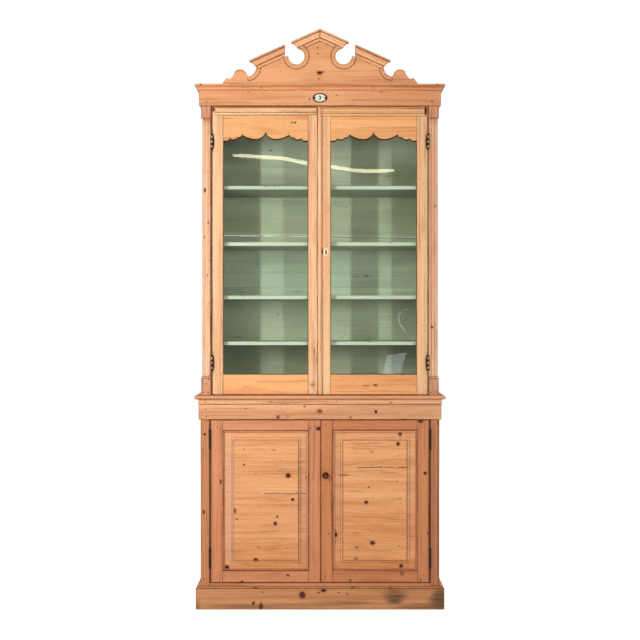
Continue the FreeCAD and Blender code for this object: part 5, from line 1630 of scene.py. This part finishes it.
@dataclass
class Crown(SubAssembly):
    """Frieze, cornice and the shaped pediment."""

    arris: float = 1.6
    nail_radius: float = 2.9
    knots: tuple[Knot, ...] = (
        Knot(-2, 2250, 9, 7, 0.8), Knot(10, 2253, 8, 4, 0.5), Knot(-299, 2166, 7, 2, 0.3),
        Knot(257, 2167, 7, 2.5, 0.35),
    )
    stains: tuple[Stain, ...] = (
        Stain(330, 2142, 260, 44, 0.4, (196, 108, 50)), Stain(-470, 2130, 60, 30, 0.3, (196, 108, 50)),
    )
    # The frieze's outline, the circles inside the domed lobes and the lines under the raking mouldings are
    # painted shade.
    dirt: tuple[DirtAndShadeLine, ...] = (
        Groove(-508, 508, 2110, 2175, 4.5, 0.75),
        Ring(99.1, 2319.3, 53.4, 4.5, 0.65), Ring(99.1, 2319.3, 36.5, 5, 0.45),
        Ring(303.7, 2271.6, 54.1, 4.5, 0.65, within=304), Ring(303.7, 2271.6, 39, 5, 0.45, within=304),
        Ring(336.4, 2234.4, 27.5, 7, 0.5, above=2246), Rake(43.5, 0, 62, 4, 0.6),
        Rake(43.5, 148, 262, 4, 0.6),
    )
    # Lines along the raking mouldings' profile: painted shade.
    rake_shade_lines: tuple[DirtAndShadeLine, ...] = (
        Rake(8.5, 0, 600, 2.5, 0.3), Rake(31, 0, 600, 3.5, 0.6), Rake(43.5, 0, 600, 3, 0.5),
    )
    # Lines along the cornice's lip and foot: painted shade.
    cornice_shade_line: tuple[Groove, ...] = (Groove(-524, 524, 2174, 2191, 3, 0.6),)

    def build(self) -> None:
        """Builds and finishes the top of the bookcase."""
        crown = Pine(
            "pine_crown", early=(238, 172, 120), late=(206, 128, 80), knots=self.knots, grooves=self.dirt,
            stains=self.stains, edge_dirt_and_shade=0.75,
        )
        cornice = Pine(
            "pine_cornice", early=(234, 168, 118), late=(196, 120, 72), ring_gap=0.004,
            grooves=self.cornice_shade_line,
        )
        moulding = Pine(
            "pine_crown_mouldings", early=(250, 190, 138), late=(212, 138, 90), ring_gap=0.004,
            grooves=self.rake_shade_lines, edge_dirt_and_shade=0.75,
        )
        rough = Pine("pine_rough", early=(222, 164, 114), late=(180, 116, 74), scattered=0.6)
        self.boards(
            self.arris, frieze=crown, cornice=cornice, pediment_board=crown, pediment_mouldings=moulding,
            pediment_battens=rough,
        )
        nailed = {
            "pediment_board": ((-10, 2355), (-9, 2330), (-5, 2225)),
            "cornice": ((-245, 2184), (224, 2184), (-498, 2195), (490, 2195)),
            "frieze": ((-475, 2126), (470, 2127), (-44, 2137), (70, 2154)),
        }
        self.nails("crown_nails", "case", nailed, self.nail_radius)


@dataclass
class NumberPlate(SubAssembly):
    """The small enamelled oval on the frieze, with a plain numeral."""

    numeral: str = "3"
    numeral_height: float = 17.0
    numeral_depth: float = 0.3
    letter_share: float = 1.4
    bold: float = 0.0007
    arris: float = 0.3

    def build(self) -> None:
        """Builds and finishes the plate."""
        low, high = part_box("number_plate")
        middle = (low + high) / 2
        enamel = Enamel(
            "enamel_plate", centre=(middle.x, 0.0, middle.z),
            half_wide=(high.x - low.x) / 2, half_tall=(high.z - low.z) / 2,
        )
        pins = Metal("pin_iron", skin=(26, 16, 10), rubbed=(52, 34, 22), rust_and_shade=(40, 22, 12), rusty=0.5)
        self.boards(self.arris, number_plate=enamel, plate_pins=pins)
        self.pieces.append(self.digit(Vector((middle.x, low.y, middle.z))))

    def digit(self, place: Vector) -> bpy.types.Object:
        """Makes the painted numeral.

        Args:
            place: The middle of the plate's face.

        Returns:
            The numeral, lying on the plate.
        """
        curve = bpy.data.curves.new("plate_numeral_outline", "FONT")
        curve.body = self.numeral
        curve.size = self.numeral_height * MM * self.letter_share
        curve.align_x = "CENTER"
        curve.align_y = "CENTER"
        curve.extrude = self.numeral_depth * MM / 2
        curve.offset = self.bold
        writer = set_out("plate_numeral_outline", curve)
        layer = bpy.context.evaluated_depsgraph_get()
        mesh = bpy.data.meshes.new_from_object(writer.evaluated_get(layer))
        bpy.data.objects.remove(writer)
        middle = sum((vertex.co for vertex in mesh.vertices), Vector()) / len(mesh.vertices)
        for vertex in mesh.vertices:
            away = vertex.co - middle
            vertex.co = place + Vector((away.x, -away.z, away.y))
        mesh.materials.clear()
        mesh.materials.append(Blacking("numeral_black").material())
        piece = set_out("plate_numeral", mesh)
        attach(piece, "case")
        return piece


@dataclass
class Hinges(SubAssembly):
    """Bronze hinges on the glazed doors and black iron ones on the panelled doors."""

    arris: float = 0.3
    in_case: Span = (0.9, 2.5)
    knuckle_shade_pitch: float = 0.020196
    knuckle_foot: float = 1.0005

    def build(self) -> None:
        """Finishes every leaf, pin and screw."""
        # The pale bronze skin is a painted highlight on the barrels, and their knuckle joints get painted
        # shade.
        bronze = Metal(
            "hinge_bronze", skin=(176, 156, 124), rubbed=(214, 196, 160), rust_and_shade=(30, 14, 6), rough=0.3,
            rusty=0.2, knuckle_shade_pitch=self.knuckle_shade_pitch, knuckle_foot=self.knuckle_foot,
        )
        iron = Metal("hinge_iron")
        screws = Metal("hinge_screws", skin=(60, 50, 44), rubbed=(120, 104, 92), rough=0.38)
        for node in ("hinge_frame_leaves", "hinge_pins"):
            self.parted_board(node, iron, bronze, self.arris, self.in_case)
        self.coat("hinge_frame_screws", screws)
        for door in ("upper_left", "upper_right", "lower_left", "lower_right"):
            finish = bronze if door.startswith("upper") else iron
            self.board(f"{door}_hinge_leaves", finish, self.arris)
            self.coat(f"{door}_hinge_screws", screws)


@dataclass
class GlazedDoor(SubAssembly):
    """One upper door: frame, scalloped rail, cap, pane, putty with painted shade, and beads."""

    name: str = "upper_left"
    arris: float = 1.3
    frame_knots: tuple[Knot, ...] = ()
    stains: tuple[Stain, ...] = ()
    grooves: tuple[Groove, ...] = ()
    # Early-wood colour of the cap and glazing beads: paler by default as painted light, darker on the right
    # door as painted shade.
    bead_early: Colour = (255, 212, 160)
    # Widths of the dark sheet round the glass: putty and painted shade, wider under the scalloped rail.
    putty_wide: float = 2.4
    scallop_putty: float = 4.6
    putty_thick: float = 1.0
    putty_filled: float = 0.9
    front_depth: float = 0.5
    facing: float = -0.9
    cap_arris: float = 1.0
    bead_arris: float = 0.8

    def putty(self) -> None:
        """Lays a thin dark sheet round the glass: putty, and painted shade, widest under the scalloped rail.
        """
        low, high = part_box(f"{self.name}_pane")
        middle = (low + high) / 2
        line = bmesh.new()
        for part in ("stiles", "rails"):
            for shape in self.joiner.solids(f"{self.name}_{part}"):
                self.joiner.soften(shape, 0.0)
                shape.normal_update()
                centre = sum((corner.co for corner in shape.verts), Vector()) / len(shape.verts)
                inward = Vector((middle.x - centre.x, 0.0, 0.0)).normalized()
                if part == "rails":
                    inward = Vector((0.0, 0.0, middle.z - centre.z)).normalized()
                # Widest under the scalloped rail, where the band is mostly painted shade.
                wide = self.scallop_putty if inward.z < 0 else self.putty_wide
                front = min(corner.co.y for corner in shape.verts)
                for face in shape.faces:
                    forward = face.normal.y < self.facing
                    if forward and face.calc_center_median().y < front + self.front_depth * MM:
                        spots = [corner.co + inward * wide * MM for corner in face.verts]
                        level = low.y - self.putty_thick * MM
                        line.faces.new([line.verts.new((spot.x, level, spot.z)) for spot in spots])
                shape.free()
        grown = bmesh.ops.extrude_face_region(line, geom=line.faces[:])["geom"]
        for corner in grown:
            if isinstance(corner, bmesh.types.BMVert):
                corner.co.y += self.putty_thick * self.putty_filled * MM
        bmesh.ops.recalc_face_normals(line, faces=line.faces[:])
        mesh = bpy.data.meshes.new(f"{self.name}_putty")
        line.to_mesh(mesh)
        line.free()
        mesh.materials.append(Blacking("dark_putty", ink=(46, 40, 24), faded=(74, 64, 42)).material())
        piece = set_out(f"{self.name}_putty", mesh)
        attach(piece, f"{self.name}_door")
        slot_of(f"{self.name}_rails")
        self.pieces.append(piece)

    def build(self) -> None:
        """Builds and finishes the door."""
        stiles = Pine(
            f"pine_{self.name}_stiles", early=(246, 196, 146), late=(218, 150, 100), ruddy=(232, 166, 116),
            knots=self.frame_knots, stains=self.stains, grooves=self.grooves, smear=(176, 92, 56),
        )
        rails = Pine(
            f"pine_{self.name}_rails", early=(246, 180, 118), late=(216, 140, 80), ruddy=(228, 148, 86),
            knots=self.frame_knots, grooves=self.grooves, edge_dirt_and_shade=0.12,
        )
        beads = Pine(
            f"pine_{self.name}_beads", early=self.bead_early, late=(232, 170, 118), ring_gap=0.004,
            knots=self.frame_knots, grooves=self.grooves,
        )
        self.board(f"{self.name}_stiles", stiles, self.arris)
        self.board(f"{self.name}_rails", rails, self.arris)
        self.board(f"{self.name}_cap", beads, self.cap_arris)
        self.board(f"{self.name}_glazing_beads", beads, self.bead_arris)
        self.coat(f"{self.name}_pane", OldGlass("old_glass"))
        self.putty()
        if f"{self.name}_meeting_bead" in frame["nodes"]:
            self.board(f"{self.name}_meeting_bead", stiles, self.cap_arris)


@dataclass
class PanelledDoor(SubAssembly):
    """One lower door: frame, fielded panel and its mouldings."""

    name: str = "lower_left"
    arris: float = 1.3
    panel_arris: float = 0.8
    moulding_arris: float = 0.7
    peg_radius: float = 2.2
    frame_knots: tuple[Knot, ...] = ()
    panel_knots: tuple[Knot, ...] = ()
    cracks: tuple[Crack, ...] = ()
    grooves: tuple[Groove, ...] = ()
    joints: tuple[Groove, ...] = ()
    pegs: tuple[Spot, ...] = ()
    stains: tuple[Stain, ...] = ()
    frame_stains: tuple[Stain, ...] = ()
    early: Colour = (241, 176, 122)
    frame_early: Colour = (218, 145, 100)

    def build(self) -> None:
        """Builds and finishes the door."""
        framing = Pine(
            f"pine_{self.name}_frame", early=self.frame_early, late=(178, 102, 58), ruddy=(194, 116, 70),
            knots=self.frame_knots, grooves=self.joints + self.grooves[:1], stains=self.frame_stains,
        )
        panel = Pine(
            f"pine_{self.name}_panel", early=self.early, late=(204, 126, 70), ruddy=(222, 142, 84),
            knots=self.panel_knots, cracks=self.cracks, stains=self.stains, grooves=self.grooves,
            ring_gap=0.009, contrast=0.55, run=1.6, sway=0.035, veined=0.32,
        )
        beads = Pine(
            f"pine_{self.name}_mouldings", early=(218, 148, 100), late=(178, 108, 66), ruddy=(192, 118, 72),
            ring_gap=0.004, grooves=self.grooves[:1],
        )
        self.board(f"{self.name}_stiles", framing, self.arris)
        self.board(f"{self.name}_rails", framing, self.arris)
        self.board(f"{self.name}_panel", panel, self.panel_arris, GrainRun.LEVEL)
        self.board(f"{self.name}_panel_mouldings", beads, self.moulding_arris)
        nailed = {f"{self.name}_stiles": self.pegs}
        self.nails(f"{self.name}_pegs", f"{self.name}_door", nailed, self.peg_radius)


@dataclass
class DoorFurniture(SubAssembly):
    """Bolts, lock, keyhole plate, knob and turn catch."""

    arris: float = 0.4
    knob_arris: float = 0.2

    def build(self) -> None:
        """Finishes the small metal pieces."""
        iron = Metal("bolt_iron", skin=(52, 46, 42), rubbed=(112, 100, 90))
        bronze = Metal(
            "knob_bronze", skin=(92, 58, 44), rubbed=(168, 124, 104), rust_and_shade=(60, 38, 28), rough=0.26
        )
        # The dark oval round the keyhole is painted shade.
        pale = Metal(
            "pale_brass", skin=(230, 206, 172), rubbed=(246, 230, 202), rust_and_shade=(44, 24, 12), rough=0.42,
            rusty=0.0, keyhole_shade_centre=(0.0255, 0.0, 1.496), keyhole_shade_wide=0.0034,
        )
        self.boards(
            self.arris, upper_left_bolt_plate=iron, upper_left_bolt=iron, lower_left_bolt_plate=iron,
            lower_left_bolt=iron, upper_right_lock_case=iron, upper_right_lock_bolt=iron,
            upper_right_lock_escutcheon=pale,
        )
        self.board("lower_right_knob", bronze, self.knob_arris)
        self.board("lower_right_turn_catch", iron, self.arris)


@dataclass(frozen=True)
class Lamp:
    """A flat soft lamp: where it stands, what it faces, its size and its power in watts."""

    name: str
    place: Point
    target: Point
    wide: float
    tall: float
    power: float

    def build(self) -> None:
        """Hangs the lamp."""
        light = bpy.data.lights.new(self.name, "AREA")
        light.shape = "RECTANGLE"
        light.size = self.wide
        light.size_y = self.tall
        light.energy = self.power
        stand = set_out(self.name, light)
        stand.location = self.place
        aim = Vector(self.target) - Vector(self.place)
        stand.rotation_euler = aim.to_track_quat("-Z", "Y").to_euler()
        stand.visible_camera = False


@dataclass(frozen=True)
class Gleam:
    """A bright ribbon behind the camera that the panes mirror: its line, thickness, strength and colour."""

    name: str
    line: tuple[Spot, ...]
    thick: float
    strength: float
    colour: Point
    taper: float = 1.0
    across: Spot | None = None
    depth: float = -6.2
    steps: int = 12
    swell: float = 0.15

    def points(self) -> list[Vector]:
        """Draws a smooth line through the given places.

        Returns:
            Points of the line, sideways and up, in metres.
        """
        knots = [Vector(place) for place in self.line]
        knots = [knots[0] * 2 - knots[1], *knots, knots[-1] * 2 - knots[-2]]
        made = []
        for before, start, end, after in zip(knots, knots[1:], knots[2:], knots[3:]):
            for step in range(self.steps):
                t = step / self.steps
                bend = (before * 2 - start * 5 + end * 4 - after) * t * t
                twist = (start * 3 - before - end * 3 + after) * t * t * t
                made.append((start * 2 + (end - before) * t + bend + twist) / 2)
        return made + [knots[-2]]

    def build(self) -> None:
        """Hangs the ribbon, out of the camera's sight."""
        line = self.points()
        corners = []
        for number, spot in enumerate(line):
            end = min(number, len(line) - 1 - number)
            run = line[min(number + 1, len(line) - 1)] - line[max(number - 1, 0)]
            side = Vector(self.across) if self.across else run.orthogonal()
            half = side.normalized() * self.thick / 2 * min(1.0, self.taper + end * self.swell)
            for edge in (spot - half, spot + half):
                corners.append((edge.x, self.depth, edge.y))
        faces = [(2 * n, 2 * n + 1, 2 * n + 3, 2 * n + 2) for n in range(len(line) - 1)]
        mesh = bpy.data.meshes.new(self.name)
        mesh.from_pydata(corners, [], faces)
        sheet = ShaderSheet(self.name)
        light = {"Color": (*self.colour, 1.0), "Strength": self.strength}
        mesh.materials.append(sheet.close(sheet.node("ShaderNodeEmission", {}, light)))
        ribbon = set_out(self.name, mesh)
        ribbon.visible_camera = False
        ribbon.visible_shadow = False


@dataclass
class Studio:
    """White floor, white surroundings, soft lamps, the gleams that the panes mirror and the camera."""

    camera_place: Point = (0.0, -4.865, 1.211)
    lens: float = 62.95
    sensor: float = 36.0
    ambient: float = 0.265
    floor_half: float = 9.0
    floor_lit: float = 0.8
    floor_seen: float = 0.5
    floor_glow: float = 0.87
    lamps: tuple[Lamp, ...] = (
        Lamp("left_strip", (-1.17, -2.1, 1.75), (0.0, -0.15, 1.5), 0.07, 1.2, 28.5),
        Lamp("right_strip", (1.63, -5.3, 1.7), (0.0, -0.15, 1.6), 0.16, 1.3, 59.0),
        Lamp("back_left", (-3.3, 2.3, 2.1), (0.0, 0.1, 1.2), 2.0, 2.2, 82.0),
        Lamp("back_right", (3.3, 2.3, 2.1), (0.0, 0.1, 1.2), 2.0, 2.2, 82.0),
    )
    gleams: tuple[Gleam, ...] = (
        Gleam(
            "tube_gleam",
            (
                (-0.842, 2.796), (-0.559, 2.780), (-0.340, 2.761), (-0.109, 2.714),
                (0.111, 2.684), (0.342, 2.651), (0.510, 2.643), (0.716, 2.649),
            ),
            0.034, 15.0, (1.0, 0.9, 0.6), 0.4,
        ),
        Gleam(
            "thread_gleam", ((-0.930, 2.0245), (-0.520, 2.0195), (-0.120, 2.0145)), 0.008, 11.0,
            (1.0, 0.98, 0.9),
        ),
        Gleam(
            "window_gleam", ((0.690, 0.690), (0.712, 0.790), (0.738, 0.885)), 0.185, 3.3, (0.86, 0.96, 1.0),
            across=(0.185, 0.028),
        ),
        Gleam(
            "crescent_gleam", ((0.775, 1.300), (0.757, 1.235), (0.775, 1.160), (0.830, 1.090)), 0.009, 5.0,
            (0.86, 0.96, 1.0), 0.3,
        ),
        Gleam(
            "crescent_edge_gleam", ((0.790, 1.300), (0.840, 1.318), (0.872, 1.300)), 0.009, 3.0,
            (0.86, 0.96, 1.0), 0.3,
        ),
    )

    def build(self) -> None:
        """Builds the studio round the bookcase."""
        bpy.context.scene.view_settings.view_transform = "Standard"
        self._floor()
        self._world()
        for lamp in self.lamps:
            lamp.build()
        self._hide_lamps()
        for gleam in self.gleams:
            gleam.build()
        self._camera()

    def _hide_lamps(self) -> None:
        """Keeps the lamps' own shapes out of the panes, which then mirror the room and the gleams alone."""
        panes = bpy.data.collections.new("panes_without_lamps")
        for side in ("upper_left", "upper_right"):
            panes.objects.link(bpy.data.objects[f"{side}_pane"])
        for member in panes.collection_objects:
            member.light_linking.link_state = "EXCLUDE"
        for lamp in self.lamps:
            bpy.data.objects[lamp.name].light_linking.receiver_collection = panes

    def _floor(self) -> None:
        """Lays the pale floor, which keeps the bookcase's shadow."""
        reach = self.floor_half
        mesh = bpy.data.meshes.new("floor")
        corners = [(-reach, -reach, 0.0), (reach, -reach, 0.0), (reach, reach, 0.0), (-reach, reach, 0.0)]
        mesh.from_pydata(corners, [], [(0, 1, 2, 3)])
        sheet = ShaderSheet("floor_white")
        path = sheet.node("ShaderNodeLightPath", output="Is Camera Ray")
        seen = path.maximum(path.other("Is Glossy Ray")).maximum(path.other("Is Transmission Ray"))
        plain, soft = (
            sheet.node("ShaderNodeBsdfDiffuse", {}, {"Color": (level, level, level, 1.0)})
            for level in (self.floor_lit, self.floor_seen)
        )
        glow = sheet.node("ShaderNodeEmission", {}, {"Color": WHITE, "Strength": self.floor_glow})
        both = sheet.node("ShaderNodeAddShader", {}, {0: soft, 1: glow})
        mixed = sheet.node("ShaderNodeMixShader", {}, {0: seen, 1: plain, 2: both})
        mesh.materials.append(sheet.close(mixed))
        floor = set_out("floor", mesh)

    def _world(self) -> None:
        """Gives plain light from all round, and white where the camera sees the surroundings."""
        world = bpy.data.worlds.new("studio")
        bpy.context.scene.world = world
        sheet = ShaderSheet("studio", world)
        path = sheet.node("ShaderNodeLightPath", output="Is Camera Ray")
        seen = path.maximum(path.other("Is Transmission Ray"))
        ends = {"Value": seen, "To Min": self.ambient, "To Max": 1.0}
        level = sheet.node("ShaderNodeMapRange", {}, ends)
        sheet.close(sheet.node("ShaderNodeBackground", {}, {"Color": WHITE, "Strength": level}))

    def _camera(self) -> None:
        """Stands the camera square in front of the bookcase."""
        data = bpy.data.cameras.new("view")
        data.lens = self.lens
        data.sensor_width = self.sensor
        camera = set_out("view", data)
        camera.location = self.camera_place
        camera.rotation_euler = (math.pi / 2, 0.0, 0.0)
        bpy.context.scene.camera = camera


# The tall dark marks at x ±449 beside the hinges and the small dark marks beside the caps' outer ends are
# painted shade; the rest are knots and marks of the wood.
UPPER_LEFT_KNOTS_AND_SHADE = (
    Knot(-117, 2041, 4, 3.5, 0.7), Knot(-103, 2041, 4, 3.5, 0.7), Knot(-24, 1078, 2.5, 14, 0.3),
    Knot(-14, 1043, 2.5, 10, 0.3), Knot(-31, 939, 9, 4, 0.25), Knot(-449, 1960, 5, 30, 0.8),
    Knot(-449, 1031, 5, 30, 0.8), Knot(-447, 2097, 3.5, 9, 0.8),
)
UPPER_RIGHT_KNOTS_AND_SHADE = (
    Knot(233, 937, 8, 4, 0.6), Knot(196, 935, 14, 3, 0.3), Knot(449, 1960, 5, 30, 0.8),
    Knot(449, 1031, 5, 30, 0.8), Knot(10, 1498, 3, 10, 0.7), Knot(444, 2090, 4.5, 17, 0.95),
)
LOWER_LEFT_FRAME_KNOTS = (
    Knot(-417, 532, 3.5, 8, 0.8), Knot(-5, 755, 10, 7, 0.9), Knot(-42, 759, 2.5, 3, 0.8),
    Knot(-135, 140, 5, 4, 0.75), Knot(-328, 113, 5, 3.5, 0.8),
)
LOWER_LEFT_PANEL_KNOTS = (
    Knot(-320, 668, 4, 2.2, 0.35), Knot(-194, 664, 4, 2.2, 0.45), Knot(-320, 603, 4, 3.5, 0.65),
    Knot(-272, 565, 2.5, 2, 0.5), Knot(-175, 576, 3, 2, 0.35), Knot(-134, 558, 9, 8.5, 0.95),
    Knot(-53, 550, 5.5, 5.5, 0.95), Knot(-115, 457, 6, 5.5, 0.9), Knot(-357, 410, 4.5, 10, 0.6),
    Knot(-349, 375, 4.5, 2.5, 0.6), Knot(-179, 385, 4, 4, 0.7), Knot(-188, 356, 6.5, 7, 0.8),
    Knot(-257, 256, 8, 3, 0.3), Knot(-138, 252, 3, 2, 0.4), Knot(-270, 204, 8, 6, 0.75),
    Knot(-391, 172, 8, 7, 0.95),
)
LOWER_RIGHT_FRAME_KNOTS = (
    Knot(422, 788, 10, 8, 0.8), Knot(441, 568, 5.5, 6.5, 0.9), Knot(453, 317, 3, 4, 0.8),
    Knot(431, 232, 2, 2, 0.5), Knot(37, 315, 3, 3, 0.6), Knot(344, 147, 7, 9, 0.4),
    Knot(127, 118, 5, 4, 0.6), Knot(422, 119, 3, 3, 0.6),
)
LOWER_RIGHT_PANEL_KNOTS = (
    Knot(100, 741, 9, 5, 0.7), Knot(337, 733, 7, 9, 0.75), Knot(328, 691, 7, 7, 0.75),
    Knot(217, 657, 9, 3, 0.3), Knot(100, 560, 20, 4, 0.35), Knot(204, 508, 3, 3, 0.7),
    Knot(194, 445, 7, 6.5, 0.85), Knot(323, 533, 3.5, 2, 0.4), Knot(337, 461, 3.5, 2.5, 0.4),
    Knot(63, 308, 9, 9, 0.95), Knot(65, 327, 3, 3, 0.8), Knot(63, 277, 2, 2, 0.7),
    Knot(221, 275, 9, 7.5, 0.8), Knot(152, 315, 12, 4, 0.2), Knot(154, 256, 5, 4, 0.45),
    Knot(332, 261, 2, 2, 0.6), Knot(345, 261, 2, 2, 0.6), Knot(365, 256, 2, 2, 0.6),
    Knot(369, 273, 2, 2, 0.6), Knot(390, 302, 2, 2, 0.6), Knot(151, 209, 8, 5, 0.4),
    Knot(341, 177, 7, 6.5, 1.0),
)
# Painted shade round each panel: at the frame's sight edge and round the raised field.
LEFT_PANEL_SHADE_LINES = (
    Groove(-405, -47, 160, 747, 4.4, 1.0), Groove(-362, -88, 201, 708, 3, 0.45),
    Groove(-372, -80, 193, 717, 2.5, 0.45),
)
RIGHT_PANEL_SHADE_LINES = (
    Groove(54, 407, 162, 749, 4.4, 1.0), Groove(96, 365, 201, 708, 3, 0.6),
    Groove(86, 376, 193, 717, 2.5, 0.5),
)
# Dark joints of the lower doors' frames, with painted shade in the gaps round the doors.
LOWER_LEFT_JOINTS_AND_SHADE = (Groove(-460, 2, 109, 792, 5, 0.75), Groove(-409, -48, 90, 810, 2.4, 0.55))
LOWER_RIGHT_JOINTS_AND_SHADE = (Groove(3, 460, 109, 792, 5, 0.75), Groove(53, 409, 90, 810, 2.4, 0.55))
# Dark joints of the glazed doors, with painted shade in the gaps round the doors, at the glass and round the
# caps.
UPPER_LEFT_JOINTS_AND_SHADE = (
    Groove(-453, -10, 897, 2108, 5, 0.6), Groove(-407, -50, 880, 2071, 2.6, 0.35),
    Groove(-441, -14, 2072, 2090, 2.6, 0.35),
)
UPPER_RIGHT_JOINTS_AND_SHADE = (
    Groove(10, 453, 897, 2103, 4, 0.6), Groove(44, 407, 880, 2067, 2.6, 0.4),
    Groove(0, 441, 2068, 2086, 2.8, 0.45), Groove(-10, 10, 880, 2110, 3, 0.35),
)
LEFT_CRACKS = (
    Crack(-360, -90, 575, 1.6, 0.4), Crack(-240, -45, 482, 2.6, 0.75), Crack(-400, -240, 488, 1.5, 0.4),
    Crack(-400, -60, 433, 1.4, 0.35), Crack(-360, -90, 292, 1.7, 0.45), Crack(-250, -60, 613, 1.4, 0.35),
)
RIGHT_CRACKS = (
    Crack(150, 372, 592, 3.4, 0.85), Crack(90, 330, 578, 2.0, 0.45), Crack(90, 250, 602, 1.6, 0.4),
    Crack(140, 230, 462, 1.4, 0.4), Crack(90, 370, 365, 1.4, 0.35),
)
UPPER_LEFT_STAINS = (
    Stain(-28, 1090, 7, 90, 0.55), Stain(-18, 1040, 4, 60, 0.45), Stain(-30, 940, 12, 22, 0.5),
    Stain(-30, 1180, 6, 30, 0.4), Stain(-28, 1560, 6, 40, 0.25),
    Stain(-419, 1500, 2.6, 1500, 0.3, (150, 88, 50)), Stain(-409, 1500, 4, 1500, 0.6, (110, 64, 34)),
)
PINK = (236, 182, 150)
TAN = (196, 142, 110)
# Brown of the thin painted shade lines beside the raised fields and along the doors' edges.
PAINTED_SHADE_LINE = (110, 56, 24)
AMBER = (196, 108, 40)
# The two thin dark lines right of the raised field are painted shade.
LOWER_LEFT_STAINS = (
    Stain(-90, 455, 3.2, 330, 1.0, (92, 46, 20)), Stain(-81.5, 455, 3, 330, 0.9, PAINTED_SHADE_LINE),
    Stain(-384, 455, 30, 420, 0.7, PINK), Stain(-66, 455, 26, 420, 0.6, TAN),
    Stain(-225, 728, 400, 26, 0.75, (252, 184, 132)), Stain(-225, 182, 300, 30, 0.4, AMBER),
    Stain(-225, 300, 220, 140, 0.25, AMBER),
)
# The two thin dark lines right of the raised field are painted shade.
LOWER_RIGHT_STAINS = (
    Stain(76, 500, 26, 360, 0.5, TAN), Stain(388, 455, 26, 420, 0.3, TAN),
    Stain(367, 455, 4.5, 420, 0.35, PAINTED_SHADE_LINE), Stain(377, 455, 3.5, 420, 0.3, PAINTED_SHADE_LINE),
    Stain(230, 728, 400, 24, 0.5, (244, 178, 130)), Stain(230, 182, 300, 34, 0.6, AMBER),
    Stain(230, 300, 220, 160, 0.35, AMBER),
)
LEFT_PEGS = ((-431, 765), (-435, 132), (-20, 767), (-23, 136))
RIGHT_PEGS = ((24, 769), (435, 138), (23, 136), (426, 762))


def main() -> None:
    """Builds the bookcase's looks piece by piece and reports each one."""
    logging.basicConfig(level=logging.INFO, format="%(message)s")
    shop = Joiner(), HeadTree()
    assemblies: list[SubAssembly] = [
        BaseCupboard(*shop),
        Waist(*shop),
        UpperCase(*shop),
        Crown(*shop),
        NumberPlate(*shop),
        GlazedDoor(
            *shop, name="upper_left", frame_knots=UPPER_LEFT_KNOTS_AND_SHADE, stains=UPPER_LEFT_STAINS,
            grooves=UPPER_LEFT_JOINTS_AND_SHADE,
        ),
        GlazedDoor(
            *shop, name="upper_right", frame_knots=UPPER_RIGHT_KNOTS_AND_SHADE, grooves=UPPER_RIGHT_JOINTS_AND_SHADE,
            # Darker beads on the right door: painted shade.
            bead_early=(242, 186, 130),
        ),
        PanelledDoor(
            *shop, name="lower_left", frame_knots=LOWER_LEFT_FRAME_KNOTS,
            panel_knots=LOWER_LEFT_PANEL_KNOTS, grooves=LEFT_PANEL_SHADE_LINES, pegs=LEFT_PEGS,
            joints=LOWER_LEFT_JOINTS_AND_SHADE, cracks=LEFT_CRACKS, stains=LOWER_LEFT_STAINS,
            # A thin painted shade line along the door's hinge edge.
            frame_stains=(Stain(-455, 450, 5, 600, 0.5, PAINTED_SHADE_LINE),),
        ),
        PanelledDoor(
            *shop, name="lower_right", frame_knots=LOWER_RIGHT_FRAME_KNOTS,
            panel_knots=LOWER_RIGHT_PANEL_KNOTS, grooves=RIGHT_PANEL_SHADE_LINES, pegs=RIGHT_PEGS,
            joints=LOWER_RIGHT_JOINTS_AND_SHADE, cracks=RIGHT_CRACKS, stains=LOWER_RIGHT_STAINS,
            # Painted shade lines along the door's hinge edge and its frame's sight edge.
            frame_stains=(
                Stain(456, 450, 5, 600, 0.7, PAINTED_SHADE_LINE), Stain(48.5, 455, 3.6, 340, 0.85, PAINTED_SHADE_LINE),
            ),
            # Darker than the left door's wood: painted shade on the right door.
            early=(236, 170, 115), frame_early=(210, 135, 86),
        ),
        Hinges(*shop),
        DoorFurniture(*shop),
    ]
    for assembly in assemblies:
        assembly.build()
        for piece in assembly.pieces:
            LOG.info("%s: %s, %d faces", type(assembly).__name__, piece.name, len(piece.data.polygons))
    Studio().build()


if __name__ == "__main__":
    main()
